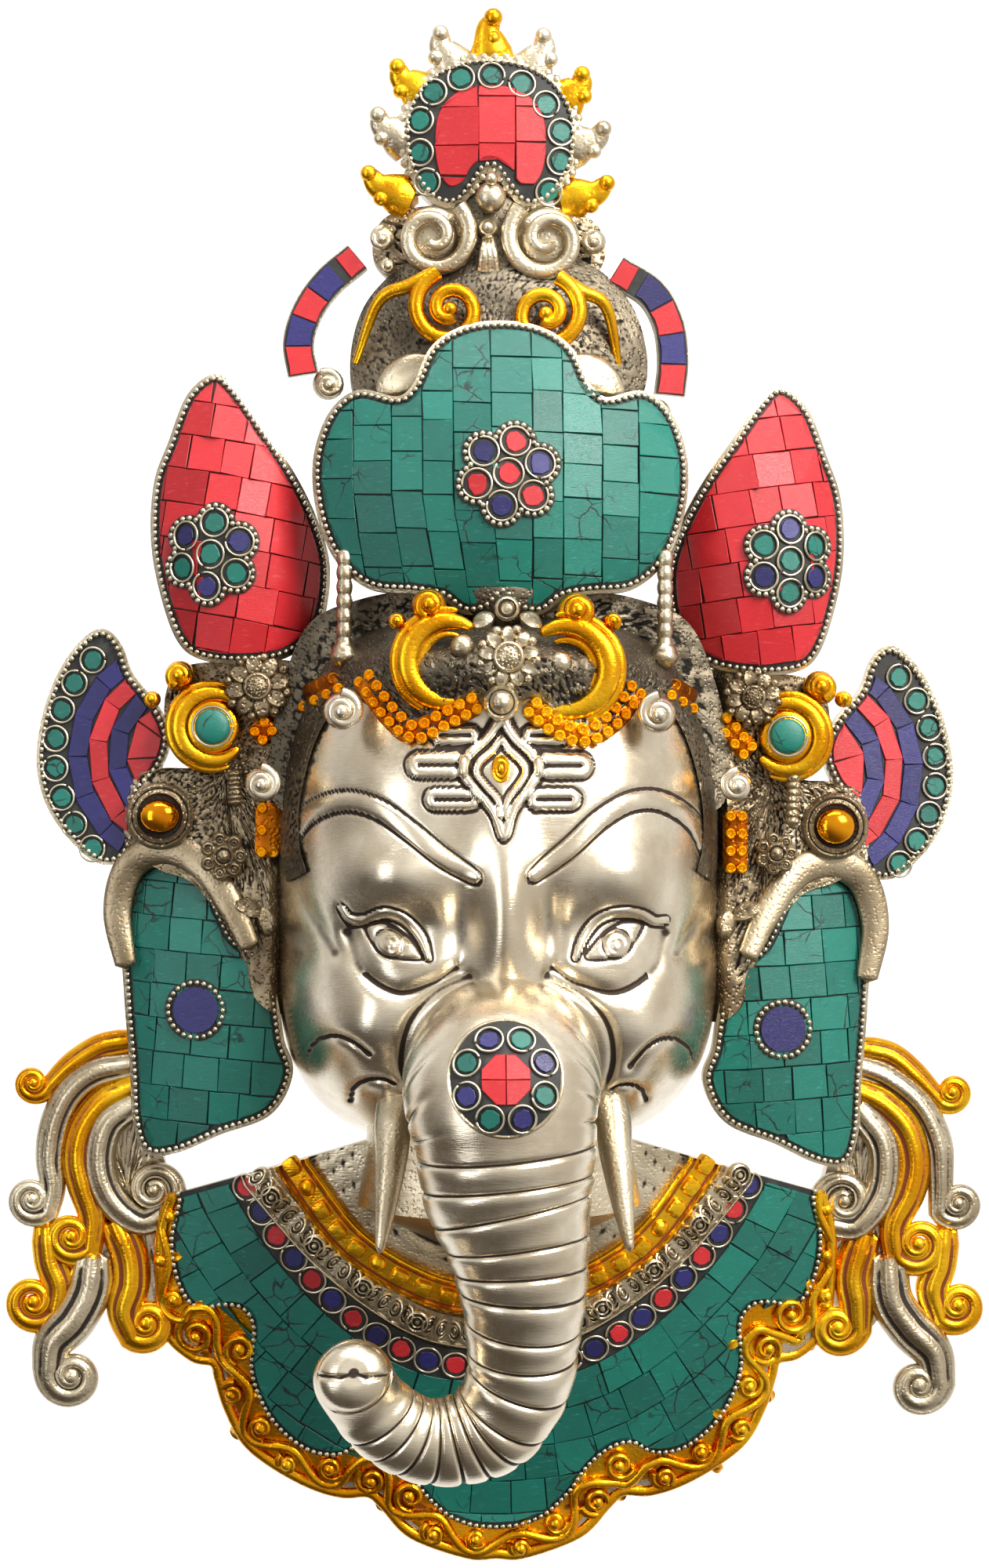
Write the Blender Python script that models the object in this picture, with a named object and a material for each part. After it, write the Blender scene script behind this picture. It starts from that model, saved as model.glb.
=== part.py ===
"""A wall-hung elephant-headed festival mask: one brass casting with inlaid stone panels.

The casting hangs against the plane y = 0 and faces -Y. Shapes are given in millimetres as
(x, z) in the plane of the wall and d, the distance that they stand off the wall.
"""

import math

import bmesh
import bpy
import numpy as np

MM = 0.001

# Fits and walls shared by the whole mask.
GAP = 0.3                # clearance between a panel and its recess
RIM = 2.6                # width of the metal edge round a panel
BED = 4.0                # thickness of a panel
SEAT = 2.4               # depth of the recess that a panel sits in
WALL = 4.5               # wall of the casting
PLATE = WALL + 1.0       # thickness of the plate behind a panel
CUT_REACH = 30.0         # how far a cutter runs past what it cuts
LEAN = 0.02              # how much the hand-set side pieces drop to the right
SUNK = 2.0               # how far solids run behind the wall plane before it is cut flat

# Casting: fineness of its mesh.
GRAIN = 1.5
CASTING_FACES = 3900

# Head, as a dome over an oval with rounded swellings: place, size and height of each.
HEAD_CENTRE = (0.0, -45.0)
HEAD_BASE = 14.0
HEAD_RISE = 88.0
HEAD_SIDE = [(0, 64), (40, 60), (66, 40), (78, 5), (78, -45), (75, -76), (67, -100), (50, -118),
             (26, -130), (0, -133)]
CHEEK = ((58, -78), (16, 17), 7.0)
LIP = ((43, -99), (11, 9), 5.0)
SOCKET = ((36, -50), (19, 12), -8.0)
EYE = ((38, -54), (11, 8), 6.5)
LID_SWELL = ((40, -28), (18, 11), 5.0)
BRIDGE = ((0, -40), (13, 26), 9.0)
FOREHEAD = ((30, 0), (24, 15), 3.0)
BROW_BAND = ((0, 44), (62, 15), 24.0)
SWELLINGS = (CHEEK, LIP, SOCKET, EYE, LID_SWELL, BRIDGE, FOREHEAD, BROW_BAND)

# Chased features of the face, laid on it as raised lines: right-hand paths and half widths.
BROW = [(73, -26), (65, -10), (55, -5), (44, -7), (33, -14), (22, -23), (10, -31)]
BROW_HALF = 2.8
LID = [(56, -41), (49, -46), (41, -43), (32, -46), (25, -57)]
LID_HALF = 1.5
CHEEK_FOLD = [(65, -97), (64, -88), (57, -86), (46, -91)]
FOLD_HALF = 1.8
BARS = ((20, 13), (8, 3), (-2, -8))
BAR_ENDS = (12, 26)
BARS_HALF = 2.4
THIRD_EYE = [(0, 21), (8, 12), (14, 4), (8, -6), (0, -19), (-8, -6), (-14, 4), (-8, 12)]
THIRD_EYE_HALF = 1.8
THIRD_EYE_DROP = (-1.0, 4.0)
DROP_RADIUS = 6.0
BROW_CURLS = ((54.0, 25.0), (81.0, 0.0))
BROW_CURL_RADIUS = 6.5

# Trunk and tusks: x, z, stand-off and radius along the middle line of each.
TRUNK = [(0, -92, 70, 30), (0, -93, 92, 31.5), (-1, -95, 108, 32.5), (-2, -99, 118, 33),
         (-2, -107, 124.5, 32), (-1, -117, 126, 30), (0, -134, 125, 28), (3, -150, 124, 24),
         (5, -167, 122, 21), (5, -182, 118, 19), (4, -197, 114, 17.5), (-4, -212, 110, 16.5),
         (-16, -218, 109, 15), (-28, -218, 110, 14), (-39, -212, 113, 13.5),
         (-47, -203, 118, 13), (-51, -195, 126, 13.4), (-51, -193, 133, 12)]
TRUNK_FLATTEN = 0.92
TUSK = [(38, -104, 58, 6.5), (38, -116, 74, 6.2), (39, -128, 83, 5.2), (40, -142, 89, 3.6),
        (41.5, -155, 94, 1.4)]

# Medallion on the root of the trunk, and how its face bends away from the middle.
MEDALLION = (-2.0, -95.0)
MEDALLION_RADIUS = 18.4
MEDALLION_PROUD = 1.6    # how far it stands off the trunk
MEDALLION_FRONT = TRUNK[5][2] + TRUNK_FLATTEN * TRUNK[5][3] + MEDALLION_PROUD
MEDALLION_TILT = -0.317
MEDALLION_BEND = -0.0154
MEDALLION_ROUND = -0.0145

# Collar, as distances from a centre under the chin.
COLLAR_CENTRE = (0.0, -110.0)
COLLAR_END = 17.0        # degrees below level where the collar stops at each side
NECK_RADIUS = 40.0
COLLAR_FRONT = 16.0      # stand-off of the collar at its rim
COLLAR_SLOPE = 0.34      # how steeply it rises towards the neck
COLLAR_REACH = 150.0     # distance from its centre where it starts to rise
COLLAR_RIM = [(0, -277), (10, -277), (30, -270), (40, -260), (46, -255), (56, -255), (68, -251),
              (82, -243), (91, -235), (97, -223), (100, -213), (102, -207), (110, -205),
              (119, -196), (121, -180), (121, -160), (117, -146)]
COLLAR_FIELD = [(0, -265), (9, -264), (18, -260), (26, -252), (32, -243), (40, -236), (48, -234),
                (56, -238), (66, -237), (76, -230), (83, -220), (87, -207), (86, -192), (90, -185),
                (98, -184), (104, -186), (110, -182), (114, -172), (115, -160), (112, -147)]
STONE_ROW = [(0, -206), (27, -202), (52, -187), (74, -164), (89, -141)]
STONE_ROW_HALF = 5.8
STUD_BAND = [(0, -182), (26, -176), (52, -160), (72, -134)]
STUD_BAND_HALF = 4.6
SCALE_BAND = [(0, -194), (28, -188), (58, -167), (84, -139)]
SCALE_BAND_HALF = 3.6
BORDER_HALF = 5.0        # radius of the roll along the collar's edge
THROAT = [(0, -112, 46, 46), (0, -128, 44, 47), (0, -146, 42, 50)]
THROAT_FLATTEN = 0.62
COLLAR_ARM = [(84, -136, 40, 5), (100, -141, 34, 5), (118, -148, 28, 5)]

# Crown.
CROWN_PANEL = [(0, 158), (13, 156), (23, 149), (29, 136), (36, 131), (49, 134), (58, 127),
               (63, 112), (62, 95), (56, 79), (45, 69), (30, 67), (20, 65), (13, 60), (6, 61),
               (0, 66)]
CROWN_MIDDLE = (0.0, 100.0)
LEAF = [(100, 140), (108, 133), (114, 117), (119, 103), (120, 84), (117, 66), (111, 49),
        (103, 43), (88, 42), (74, 45), (64, 55), (61, 74), (65, 90), (73, 106), (84, 122),
        (94, 136)]
LEAF_MIDDLE = (92.0, 84.0)
FAN = [(139, 50), (134, 45), (130, 35), (121, 24), (117, 14), (120, 4), (128, -6), (128, -16),
       (132, -27), (140, -29), (150, -21), (158, -9), (161, 6), (158, 24), (152, 38), (145, 47)]
FAN_MIDDLE = (140.0, 8.0)
EAR = [(115, -29), (105, -34), (99, -46), (93, -57), (83, -64), (79, -79), (77, -92), (74, -103),
       (81, -116), (98, -123), (113, -130), (123, -131), (127, -121), (128, -102), (130, -78),
       (131, -54), (127, -36)]
EAR_MIDDLE = (104.0, -84.0)
EAR_RIM = [(137, -66, 34), (140, -46, 32), (134, -31, 32), (118, -24, 36), (103, -30, 42),
           (94, -43, 48), (88, -56, 56)]
EAR_RIM_HALF = 4.6
SIDE_GROUND = [(62, 52), (86, 48), (112, 44), (126, 28), (124, 6), (132, -10), (130, -30),
               (116, -28), (100, -30), (88, -56), (76, -60), (68, -20)]
SIDE_MIDDLE = (96.0, 2.0)
SIDE_THICK = 12.0
RODS = [(55, 82, 66, 2.4), (55, 40, 62, 2.4)]
CROWN_BAND = [(79, -52, 58, 4.5), (77, -10, 62, 5.5), (66, 18, 78, 6.0), (40, 34, 92, 6.0),
              (18, 24, 102, 5.0)]
CROWN_SPINE = [(0, 36, 50, 34), (0, 80, 46, 34), (0, 120, 44, 36)]
CROWN_NECK = [(-2, 160, 34, 26), (-3, 190, 32, 22), (-3, 214, 28, 20)]
SPINE_FLATTEN = 0.55

# Turned and round ornaments: x, z, stand-off, radius and depth of each.
CRESCENT = (100, 19, 46)
CRESCENT_STONE = 6.2
CRESCENT_REACH = 12.5
SIDE_ROUNDS = ((119, -13, 42, 11.8, 4.0), (119, -13, 42, 7.2, 9.0), (86, 32, 52, 10.5, 5.0),
               (86, 32, 52, 4.6, 8.5), (97, -25, 48, 8.6, 5.0), (97, -25, 48, 4.2, 8.5))
CRESCENT_CURL = (112, 37, 3.6)
CRESCENT_KNOB = (121, 30, 4.5)
FRONT_CRESCENT = (20.0, 42.0, 88.0, 15.5)
FRONT_CURL = (24.5, 58.5, 90.0, 4.2)
FRONT_KNOB = (36.0, 55.0, 84.0, 4.0)
FRONT_ROUNDS = ((1, 43, 98, 10.5, 5.0), (1, 43, 100, 4.5, 7.0), (0, 27, 100, 5.8, 6.0))
FRONT_STEM = [(0, 60, 88, 4.8), (0, 50, 82, 4.8), (0, 44, 70, 4.8)]

# Finial, as a horseshoe about its own centre, and the tongues of flame round it.
FINIAL_CENTRE = (-3.0, 228.0)
FINIAL_RADIUS = 29.0
FINIAL_FRONT = 42.0
FINIAL_DOME = 4.0
FINIAL_OUTLINE = [(0.0, 0.85), (0.41, 0.79), (0.76, 0.59), (0.96, 0.24), (0.985, -0.14),
                  (0.9, -0.48), (0.66, -0.78), (0.43, -0.82), (0.26, -0.64), (0.12, -0.46),
                  (0.0, -0.41)]
FINIAL_BACK = 16.0
FLAMES = 9
FLAME_STEP = 27.0
FLAME_TALL = 14.0
FLAME_TALLEST = 17.0
FLAME_HALF = 7.5

# Topknot, coils, scrolls and ribbons.
TOPKNOT = [(0, 186), (28, 184), (44, 172), (51, 156), (51, 138), (40, 120), (20, 112), (0, 110)]
TOPKNOT_MIDDLE = (0.0, 148.0)
TOPKNOT_THICK = 26.0
KNOT_COIL = (16.5, 164.0, 50.0, 10.5, 4.2)
KNOT_TAIL = [(16.5, 175, 50, 4.2), (32, 168, 48, 4.6), (44, 152, 44, 3.6)]
SCROLL = (25.0, 190.0, 46.0, 11.0, 3.6)
SCROLL_KNOB = (38.0, 188.0, 40.0, 6.0)
BUD = [(-3, 212, 44, 3.0), (-3, 205, 47, 5.5), (-3, 197, 46, 3.0)]
BUD_KNOB = (-3, 193, 44, 4.0, 8.0)
TINE = [(-3, 190, 44, 2.4), (-3, 179, 40, 4.0)]
RIBBON = [(43, 184, 40), (54, 177, 36), (63, 163, 33), (65, 149, 33), (60, 136, 36)]
RIBBON_CENTRE = -2.0     # the ribbons stand round the finial's own centre line
RIBBON_HALF = 4.6
RIBBON_LOW = 2.5         # a ribbon's tiles lie between these heights over its middle line
RIBBON_HIGH = 6.0
RIBBON_CURL = (57.0, 137.0, 38.0, 6.0)

# Hair: every lock is a path, the middle of the curl at its end and that curl's radius.
LOCKS = [
    ([(122, -92), (140, -92), (154, -100)], (161, -108), 5.5),
    ([(122, -98), (144, -104), (156, -118), (159, -140)], (164, -147), 5.5),
    ([(122, -104), (140, -114), (148, -128), (147, -148)], (151, -160), 6.5),
    ([(124, -108), (137, -122), (138, -142), (126, -152)], (122, -144), 9.0),
    ([(156, -160), (157, -175), (160, -188)], (167, -182), 5.5),
    ([(144, -160), (146, -182), (156, -200)], (151, -210), 6.0),
    ([(132, -158), (128, -174), (129, -192)], (123, -193), 6.5),
]
LOCK_WIDTH = 4.6
LOCK_DEPTH = 16.0
HAIR_GROUND = [(124, -92), (136, -98), (146, -118), (147, -150), (142, -178), (130, -196),
               (116, -196), (113, -160), (117, -140), (122, -120)]
HAIR_MIDDLE = (131.0, -146.0)
HAIR_FRONT = 17.0
HAIR_THICK = 10.0

# Hanging bar across the hollow of the head. Its ends are buried in the head's wall.
BAR_HALF = max(x for x, z in HEAD_SIDE) - WALL / 2
BAR_HEIGHT = 20.0
BAR_DEPTH = 8.0

# The block that cuts the back flat.
CUTTER_HALF_WIDTH = 300.0
CUTTER_HALF_HEIGHT = 400.0
CUTTER_DEPTH = 50.0


def clear_scene():
    for item in list(bpy.data.objects):
        bpy.data.objects.remove(item, do_unlink=True)


def material(name, colour, roughness, metallic):
    made = bpy.data.materials.new(name)
    made.use_nodes = True
    shader = made.node_tree.nodes["Principled BSDF"]
    shader.inputs["Base Color"].default_value = (*colour, 1.0)
    shader.inputs["Roughness"].default_value = roughness
    shader.inputs["Metallic"].default_value = metallic
    return made


# Outlines and curves.

def both_halves(half):
    """A closed outline from its right half, which runs from the centre line to the centre line."""
    left = [(-x, z) for x, z in reversed(half) if x > 0]
    return half + left


def both_side_path(half):
    """An open path from the left end over the centre line to the right end."""
    return [(-x, z) for x, z in reversed(half[1:])] + list(half)


def to_side(points, side):
    """Points of a right-hand piece, placed at either side with the lean of the hand-set pieces."""
    placed = []
    for x, z, *rest in points:
        placed.append((side * x, z - side * x * LEAN, *rest))
    return placed


def mirrored(points, side, shift=0.0):
    """Points of a right-hand piece at either side, without the lean."""
    placed = []
    for x, *rest in points:
        placed.append((side * x + shift, *rest))
    return placed


def spline(points, count, closed):
    """Points at even parameters along a Catmull-Rom curve through the given ones."""
    given = np.array(points, float)
    if closed:
        ring = np.vstack([given[-1], given, given[0], given[1]])
        spans = len(given)
        at = np.linspace(0, spans, count, endpoint=False)
    else:
        first = 2 * given[0] - given[1]
        last = 2 * given[-1] - given[-2]
        ring = np.vstack([first, given, last])
        spans = len(given) - 1
        at = np.linspace(0, spans, count)
    index = np.minimum(at.astype(int), spans - 1)
    t = (at - index)[:, None]
    p0, p1, p2, p3 = (ring[index + step] for step in range(4))
    return 0.5 * (2 * p1 + (p2 - p0) * t + (2 * p0 - 5 * p1 + 4 * p2 - p3) * t ** 2
                  + (3 * p1 - p0 - 3 * p2 + p3) * t ** 3)


def even_spline(points, count, closed):
    """The same curve with its points spread evenly along its length."""
    fine = spline(points, 40 * len(points), closed)
    if closed:
        fine = np.vstack([fine, fine[:1]])
    steps = np.linalg.norm(np.diff(fine, axis=0), axis=1)
    along = np.concatenate([[0], np.cumsum(steps)])
    want = np.linspace(0, along[-1], count, endpoint=not closed)
    return np.stack([np.interp(want, along, fine[:, axis]) for axis in range(fine.shape[1])], 1)


def grown(outline, by):
    """A closed outline moved outwards by a distance, along the normals of its points."""
    ahead = np.roll(outline, -1, axis=0)
    behind = np.roll(outline, 1, axis=0)
    along = ahead - behind
    along /= np.linalg.norm(along, axis=1)[:, None]
    turning = np.sum(outline[:, 0] * ahead[:, 1] - ahead[:, 0] * outline[:, 1])
    sign = 1.0 if turning > 0 else -1.0
    normal = np.stack([along[:, 1], -along[:, 0]], 1) * sign
    return outline + by * normal


def circle(count):
    """Points round a circle of radius 1."""
    turns = np.linspace(0, 2 * math.pi, count, endpoint=False)
    return np.column_stack([np.cos(turns), np.sin(turns)])


# Closed solids.

def world(points):
    """Metres in the part's frame of points given as x, z and d in millimetres."""
    return np.stack([points[:, 0], -points[:, 2], points[:, 1]], 1) * MM


def outward(points, faces):
    """The faces turned so that the solid's volume counts as positive."""
    volume = 0.0
    for face in faces:
        for step in range(1, len(face) - 1):
            a, b, c = points[face[0]], points[face[step]], points[face[step + 1]]
            volume += np.dot(a, np.cross(b, c))
    if volume < 0:
        faces = [tuple(reversed(face)) for face in faces]
    return points, faces


def skin(rings, ends=None):
    """A closed solid through rings of (x, z, d) points, with a fan over each end."""
    rings = [np.asarray(ring, float) for ring in rings]
    count = len(rings[0])
    ends = ends or (rings[0].mean(axis=0), rings[-1].mean(axis=0))
    points = np.vstack(rings + [np.array(ends, float)])
    faces = []
    for level in range(len(rings) - 1):
        low = level * count
        for step in range(count):
            after = (step + 1) % count
            faces.append((low + step, low + after, low + count + after))
            faces.append((low + step, low + count + after, low + count + step))
    first = len(rings) * count
    top = (len(rings) - 1) * count
    for step in range(count):
        after = (step + 1) % count
        faces.append((after, step, first))
        faces.append((top + step, top + after, first + 1))
    return outward(world(points), faces)


def loop_skin(rings):
    """A closed solid through rings that come back to the first."""
    count = len(rings[0])
    points = np.vstack(rings)
    faces = []
    for level in range(len(rings)):
        low = level * count
        high = ((level + 1) % len(rings)) * count
        for step in range(count):
            after = (step + 1) % count
            faces.append((low + step, low + after, high + after, high + step))
    return outward(world(points), faces)


def sweep(path, sides, flatten=1.0, count=None, closed=False):
    """A tube along (x, z, d, radius) points; flatten is its depth as a share of its width."""
    path = np.array(path, float)
    if count:
        path = spline(path, count, closed)
    centre = path[:, :3]
    along = np.gradient(centre, axis=0)
    if closed:
        along = np.roll(centre, -1, axis=0) - np.roll(centre, 1, axis=0)
    along /= np.linalg.norm(along, axis=1)[:, None]
    across = np.cross(along[0], (0, 0, 1))
    if np.linalg.norm(across) < 0.1:
        across = np.cross(along[0], (0, 1, 0))
    turns = np.linspace(0, 2 * math.pi, sides, endpoint=False)
    rings = []
    for place, way, radius in zip(centre, along, path[:, 3]):
        across = across - way * np.dot(across, way)
        across /= np.linalg.norm(across)
        out = np.cross(way, across)
        ring = [place + radius * (math.cos(turn) * across + flatten * math.sin(turn) * out)
                for turn in turns]
        rings.append(np.array(ring))
    if closed:
        return loop_skin(rings)
    tips = (centre[0] - along[0] * path[0, 3] / 2, centre[-1] + along[-1] * path[-1, 3] / 2)
    return skin(rings, tips)


def ball(x, z, d, radius, depth, sides=10, rings=5):
    """A flattened ball that faces the front."""
    shells = []
    for level in range(1, rings + 1):
        tilt = math.pi * level / (rings + 1)
        spread = radius * math.sin(tilt)
        shells.append([(x + spread * right, z + spread * up, d + depth * math.cos(tilt))
                       for right, up in circle(sides)])
    return skin(shells, ((x, z, d + depth), (x, z, d - depth)))


def dish(outline, centre, front, back, levels=(1 / 3, 2 / 3, 1.0)):
    """A plate over a star-shaped outline, with its front and back given as functions of x, z."""
    centre = np.array(centre, float)
    rings = []
    for surface, shares in ((front, levels), (back, tuple(reversed(levels)))):
        for share in shares:
            flat = centre + share * (outline - centre)
            rings.append(np.column_stack([flat, surface(flat[:, 0], flat[:, 1])]))
    ends = ((*centre, float(front(*centre))), (*centre, float(back(*centre))))
    return skin(rings, ends)


def join(solids):
    """One mesh of several solids, which may overlap."""
    points, faces, start = [], [], 0
    for own_points, own_faces in solids:
        points.append(own_points)
        faces += [tuple(index + start for index in face) for face in own_faces]
        start += len(own_points)
    return np.vstack(points), faces


def new_object(name, solid, finish):
    points, faces = solid
    mesh = bpy.data.meshes.new(name)
    mesh.from_pydata([tuple(point) for point in points], [], faces)
    mesh.materials.append(finish)
    made = bpy.data.objects.new(name, mesh)
    bpy.context.scene.collection.objects.link(made)
    return made


# The surfaces that everything sits on.

HEAD_RING = even_spline(both_halves(HEAD_SIDE), 96, True) - np.array(HEAD_CENTRE)
HEAD_ANGLES = np.arctan2(HEAD_RING[:, 1], HEAD_RING[:, 0])
HEAD_ORDER = np.argsort(HEAD_ANGLES)
HEAD_RADII = np.linalg.norm(HEAD_RING, axis=1)


def swell(x, z, at, size, height):
    """A rounded bump or hollow, the same at both sides."""
    near = ((np.abs(x) - at[0]) / size[0]) ** 2 + ((z - at[1]) / size[1]) ** 2
    return height * np.exp(-near)


def head_front(x, z):
    """Stand-off of the face: a round dome with brow, cheeks, eyes and the bridge of the nose."""
    x = np.asarray(x, float)
    z = np.asarray(z, float)
    across = x - HEAD_CENTRE[0]
    up = z - HEAD_CENTRE[1]
    limit = np.interp(np.arctan2(up, across), HEAD_ANGLES[HEAD_ORDER], HEAD_RADII[HEAD_ORDER],
                      period=2 * math.pi)
    share = np.clip(np.hypot(across, up) / limit, 0.0, 1.0)
    dome = HEAD_BASE + HEAD_RISE * np.sqrt(1.0 - share ** 2.4)
    for at, size, height in SWELLINGS:
        dome = dome + swell(x, z, at, size, height)
    return dome


def collar_front(x, z):
    """Stand-off of the collar: it rises from the rim towards the neck."""
    reach = np.hypot(np.asarray(x) - COLLAR_CENTRE[0], np.asarray(z) - COLLAR_CENTRE[1])
    return COLLAR_FRONT + COLLAR_SLOPE * np.clip(COLLAR_REACH - reach, 0.0, 100.0)


def crown_front(x, z):
    """Stand-off of the crown panel: domed across, and leaning back at its top and bottom."""
    return 84.0 - 22.0 * (np.asarray(x) / 62.0) ** 2 - 14.0 * ((np.asarray(z) - 98.0) / 50.0) ** 2


def leaf_front(x, z):
    """Stand-off of a red leaf: its middle bulges and its outer edge falls to the wall."""
    over = np.abs(np.asarray(x)) - 92.0
    return 56.0 - 18.0 * (over / 30.0) ** 2 - 12.0 * ((np.asarray(z) - 80.0) / 50.0) ** 2


def fan_front(x, z):
    """Stand-off of a fan: flat, and falling outwards."""
    return 33.0 - 0.2 * (np.abs(np.asarray(x)) - 120.0) + 0.0 * np.asarray(z)


def ear_front(x, z):
    """Stand-off of an ear: it stands away from the face and falls outwards."""
    over = np.abs(np.asarray(x)) - 98.0
    tall = (np.asarray(z) + 80.0) / 50.0
    return 41.0 - 8.0 * (over / 30.0) ** 2 - 0.16 * over - 4.0 * tall ** 2


def side_front(x, z):
    """Stand-off of the rough ground beside the head, which falls outwards."""
    return 52.0 - 0.32 * (np.abs(np.asarray(x)) - 70.0) + 0.0 * np.asarray(z)


def knot_front(x, z):
    """Stand-off of the topknot, a low mound."""
    return 60.0 - 16.0 * (np.asarray(x) / 50.0) ** 2 - 20.0 * ((np.asarray(z) - 140.0) / 50.0) ** 2


def finial_front(x, z):
    away = np.hypot(np.asarray(x) - FINIAL_CENTRE[0], np.asarray(z) - FINIAL_CENTRE[1])
    return FINIAL_FRONT + FINIAL_DOME * (1.0 - (away / FINIAL_RADIUS) ** 2)


def medallion_front(x, z):
    """Stand-off of the medallion, bent over the root of the trunk."""
    across = np.asarray(x) - MEDALLION[0]
    up = np.asarray(z) - MEDALLION[1]
    return (MEDALLION_FRONT + MEDALLION_TILT * up + MEDALLION_BEND * up ** 2
            + MEDALLION_ROUND * across ** 2)


def flat_front(depth):
    """A surface that stands off the wall by the same distance everywhere."""
    def surface(x, z):
        return depth + 0.0 * np.asarray(x)
    return surface


def level(surface, by):
    """The same surface moved off the wall by a distance."""
    def moved(x, z):
        return surface(x, z) + by
    return moved


# Panels: each is an inlay, the recess that it sits in, and mostly a plate that carries it.

def set_in(name, outline, centre, surface, finish, made, levels):
    """A piece set into the casting with a gap all round."""
    inlay = dish(outline, centre, surface, level(surface, -BED), levels)
    made["panels"].append(new_object(name, inlay, finish))
    made["recesses"].append(dish(grown(outline, GAP), centre, level(surface, CUT_REACH),
                                 level(surface, -BED - GAP), levels))


def seated(name, outline, centre, surface, finish, made, levels):
    """A piece set into a plate that is wider than it by the rim."""
    set_in(name, outline, centre, surface, finish, made, levels)
    made["plates"].append(dish(grown(outline, RIM), centre, level(surface, SEAT - BED),
                               level(surface, SEAT - BED - PLATE), levels))


def strap(path, half_width, low, high):
    """A flat band along (x, z, d) points, from low to high off the path."""
    path = np.array(path, float)
    along = np.gradient(path[:, :2], axis=0)
    along /= np.linalg.norm(along, axis=1)[:, None]
    across = np.column_stack([-along[:, 1], along[:, 0]]) * half_width
    rings = []
    for (x, z, d), (right, up) in zip(path, across):
        rings.append([(x - right, z - up, d + low), (x + right, z + up, d + low),
                      (x + right, z + up, d + high), (x - right, z - up, d + high)])
    return skin(rings)


def polar(half, angles):
    """Distances from the collar's centre, at the given angles, of a right half of an outline."""
    fine = spline(half, 20 * len(half), False) - np.array(COLLAR_CENTRE)
    turn = np.degrees(np.arctan2(-fine[:, 1], fine[:, 0]))
    order = np.argsort(turn)
    radii = np.hypot(fine[:, 0], fine[:, 1])
    return np.interp(angles, turn[order], radii[order])


def neck_edge(folded):
    return np.full_like(folded, NECK_RADIUS)


def rim_edge(folded):
    return polar(COLLAR_RIM, folded)


def stone_edge(folded):
    return polar(STONE_ROW, folded) - STONE_ROW_HALF


def field_edge(folded):
    return polar(COLLAR_FIELD, folded)


def collar_band(inner, outer, front, back, count, grow=0.0):
    """A curved strip of the collar between two outlines, as a solid."""
    half = np.linspace(90.0, COLLAR_END - grow / 2, count)
    angles = np.sort(np.concatenate([half, (180.0 - half)[1:]]))
    folded = np.where(angles > 90.0, 180.0 - angles, angles)
    rings = []
    for turn, near, far in zip(np.radians(angles), inner(folded) - grow, outer(folded) + grow):
        radii = np.linspace(near, far, 4)
        x = COLLAR_CENTRE[0] + radii * math.cos(turn)
        z = COLLAR_CENTRE[1] - radii * math.sin(turn)
        ahead = np.column_stack([x, z, front(x, z)])
        behind = np.column_stack([x, z, back(x, z)])[::-1]
        rings.append(np.vstack([ahead, behind]))
    return skin(rings)


# Cast motifs.

def curl(centre, radius, start, turns, thick, depth, way=1.0, count=14):
    """A flat spiral that winds in to its centre and rises a little on the way."""
    path = []
    for share in np.linspace(0, 1, count):
        reach = radius * (1.0 - 0.72 * share)
        turn = start + way * share * turns * 2 * math.pi
        path.append((centre[0] + reach * math.cos(turn), centre[1] + reach * math.sin(turn),
                     depth + 1.5 * share, thick * (1.0 - 0.35 * share)))
    return sweep(path, 6)


def crescent(centre, side, reach, bulge, start, sweep_angle, depth, thin, thick, count):
    """A horned arc: a tube that is thin at both ends and thick in the middle."""
    path = []
    for share in np.linspace(0, 1, count):
        turn = math.radians(start + sweep_angle * share)
        far = reach + bulge * math.sin(math.pi * share)
        path.append((centre[0] + side * far * math.cos(turn), centre[1] + far * math.sin(turn),
                     depth, thin + thick * math.sin(math.pi * share)))
    return sweep(path, 6)


def on_face(points, lift, radius):
    """A path laid on the face: (x, z) points raised by lift and given a radius."""
    return [(x, z, float(head_front(x, z)) + lift, radius) for x, z in points]


def head_solid():
    """The hollow head: its front, its rim at the wall and its inside, as one skin."""
    outline = even_spline(both_halves(HEAD_SIDE), 64, True)
    centre = np.array(HEAD_CENTRE)
    rings = []
    for share in (0.15, 0.3, 0.45, 0.58, 0.7, 0.8, 0.88, 0.94, 0.98, 1.0):
        flat = centre + share * (outline - centre)
        rings.append(np.column_stack([flat, head_front(flat[:, 0], flat[:, 1])]))
    narrow = grown(outline, -WALL)
    for ring in (outline, narrow):
        rings.append(np.column_stack([ring, np.full(len(ring), -SUNK)]))
    for share in (0.95, 0.85, 0.7, 0.5, 0.3, 0.15):
        flat = centre + share * (narrow - centre)
        front = head_front(flat[:, 0], flat[:, 1])
        rings.append(np.column_stack([flat, np.maximum(front - 2.0 * WALL, HEAD_BASE)]))
    middle = float(head_front(*HEAD_CENTRE))
    return skin(rings, ((*HEAD_CENTRE, middle), (*HEAD_CENTRE, middle - 2.0 * WALL)))


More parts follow.
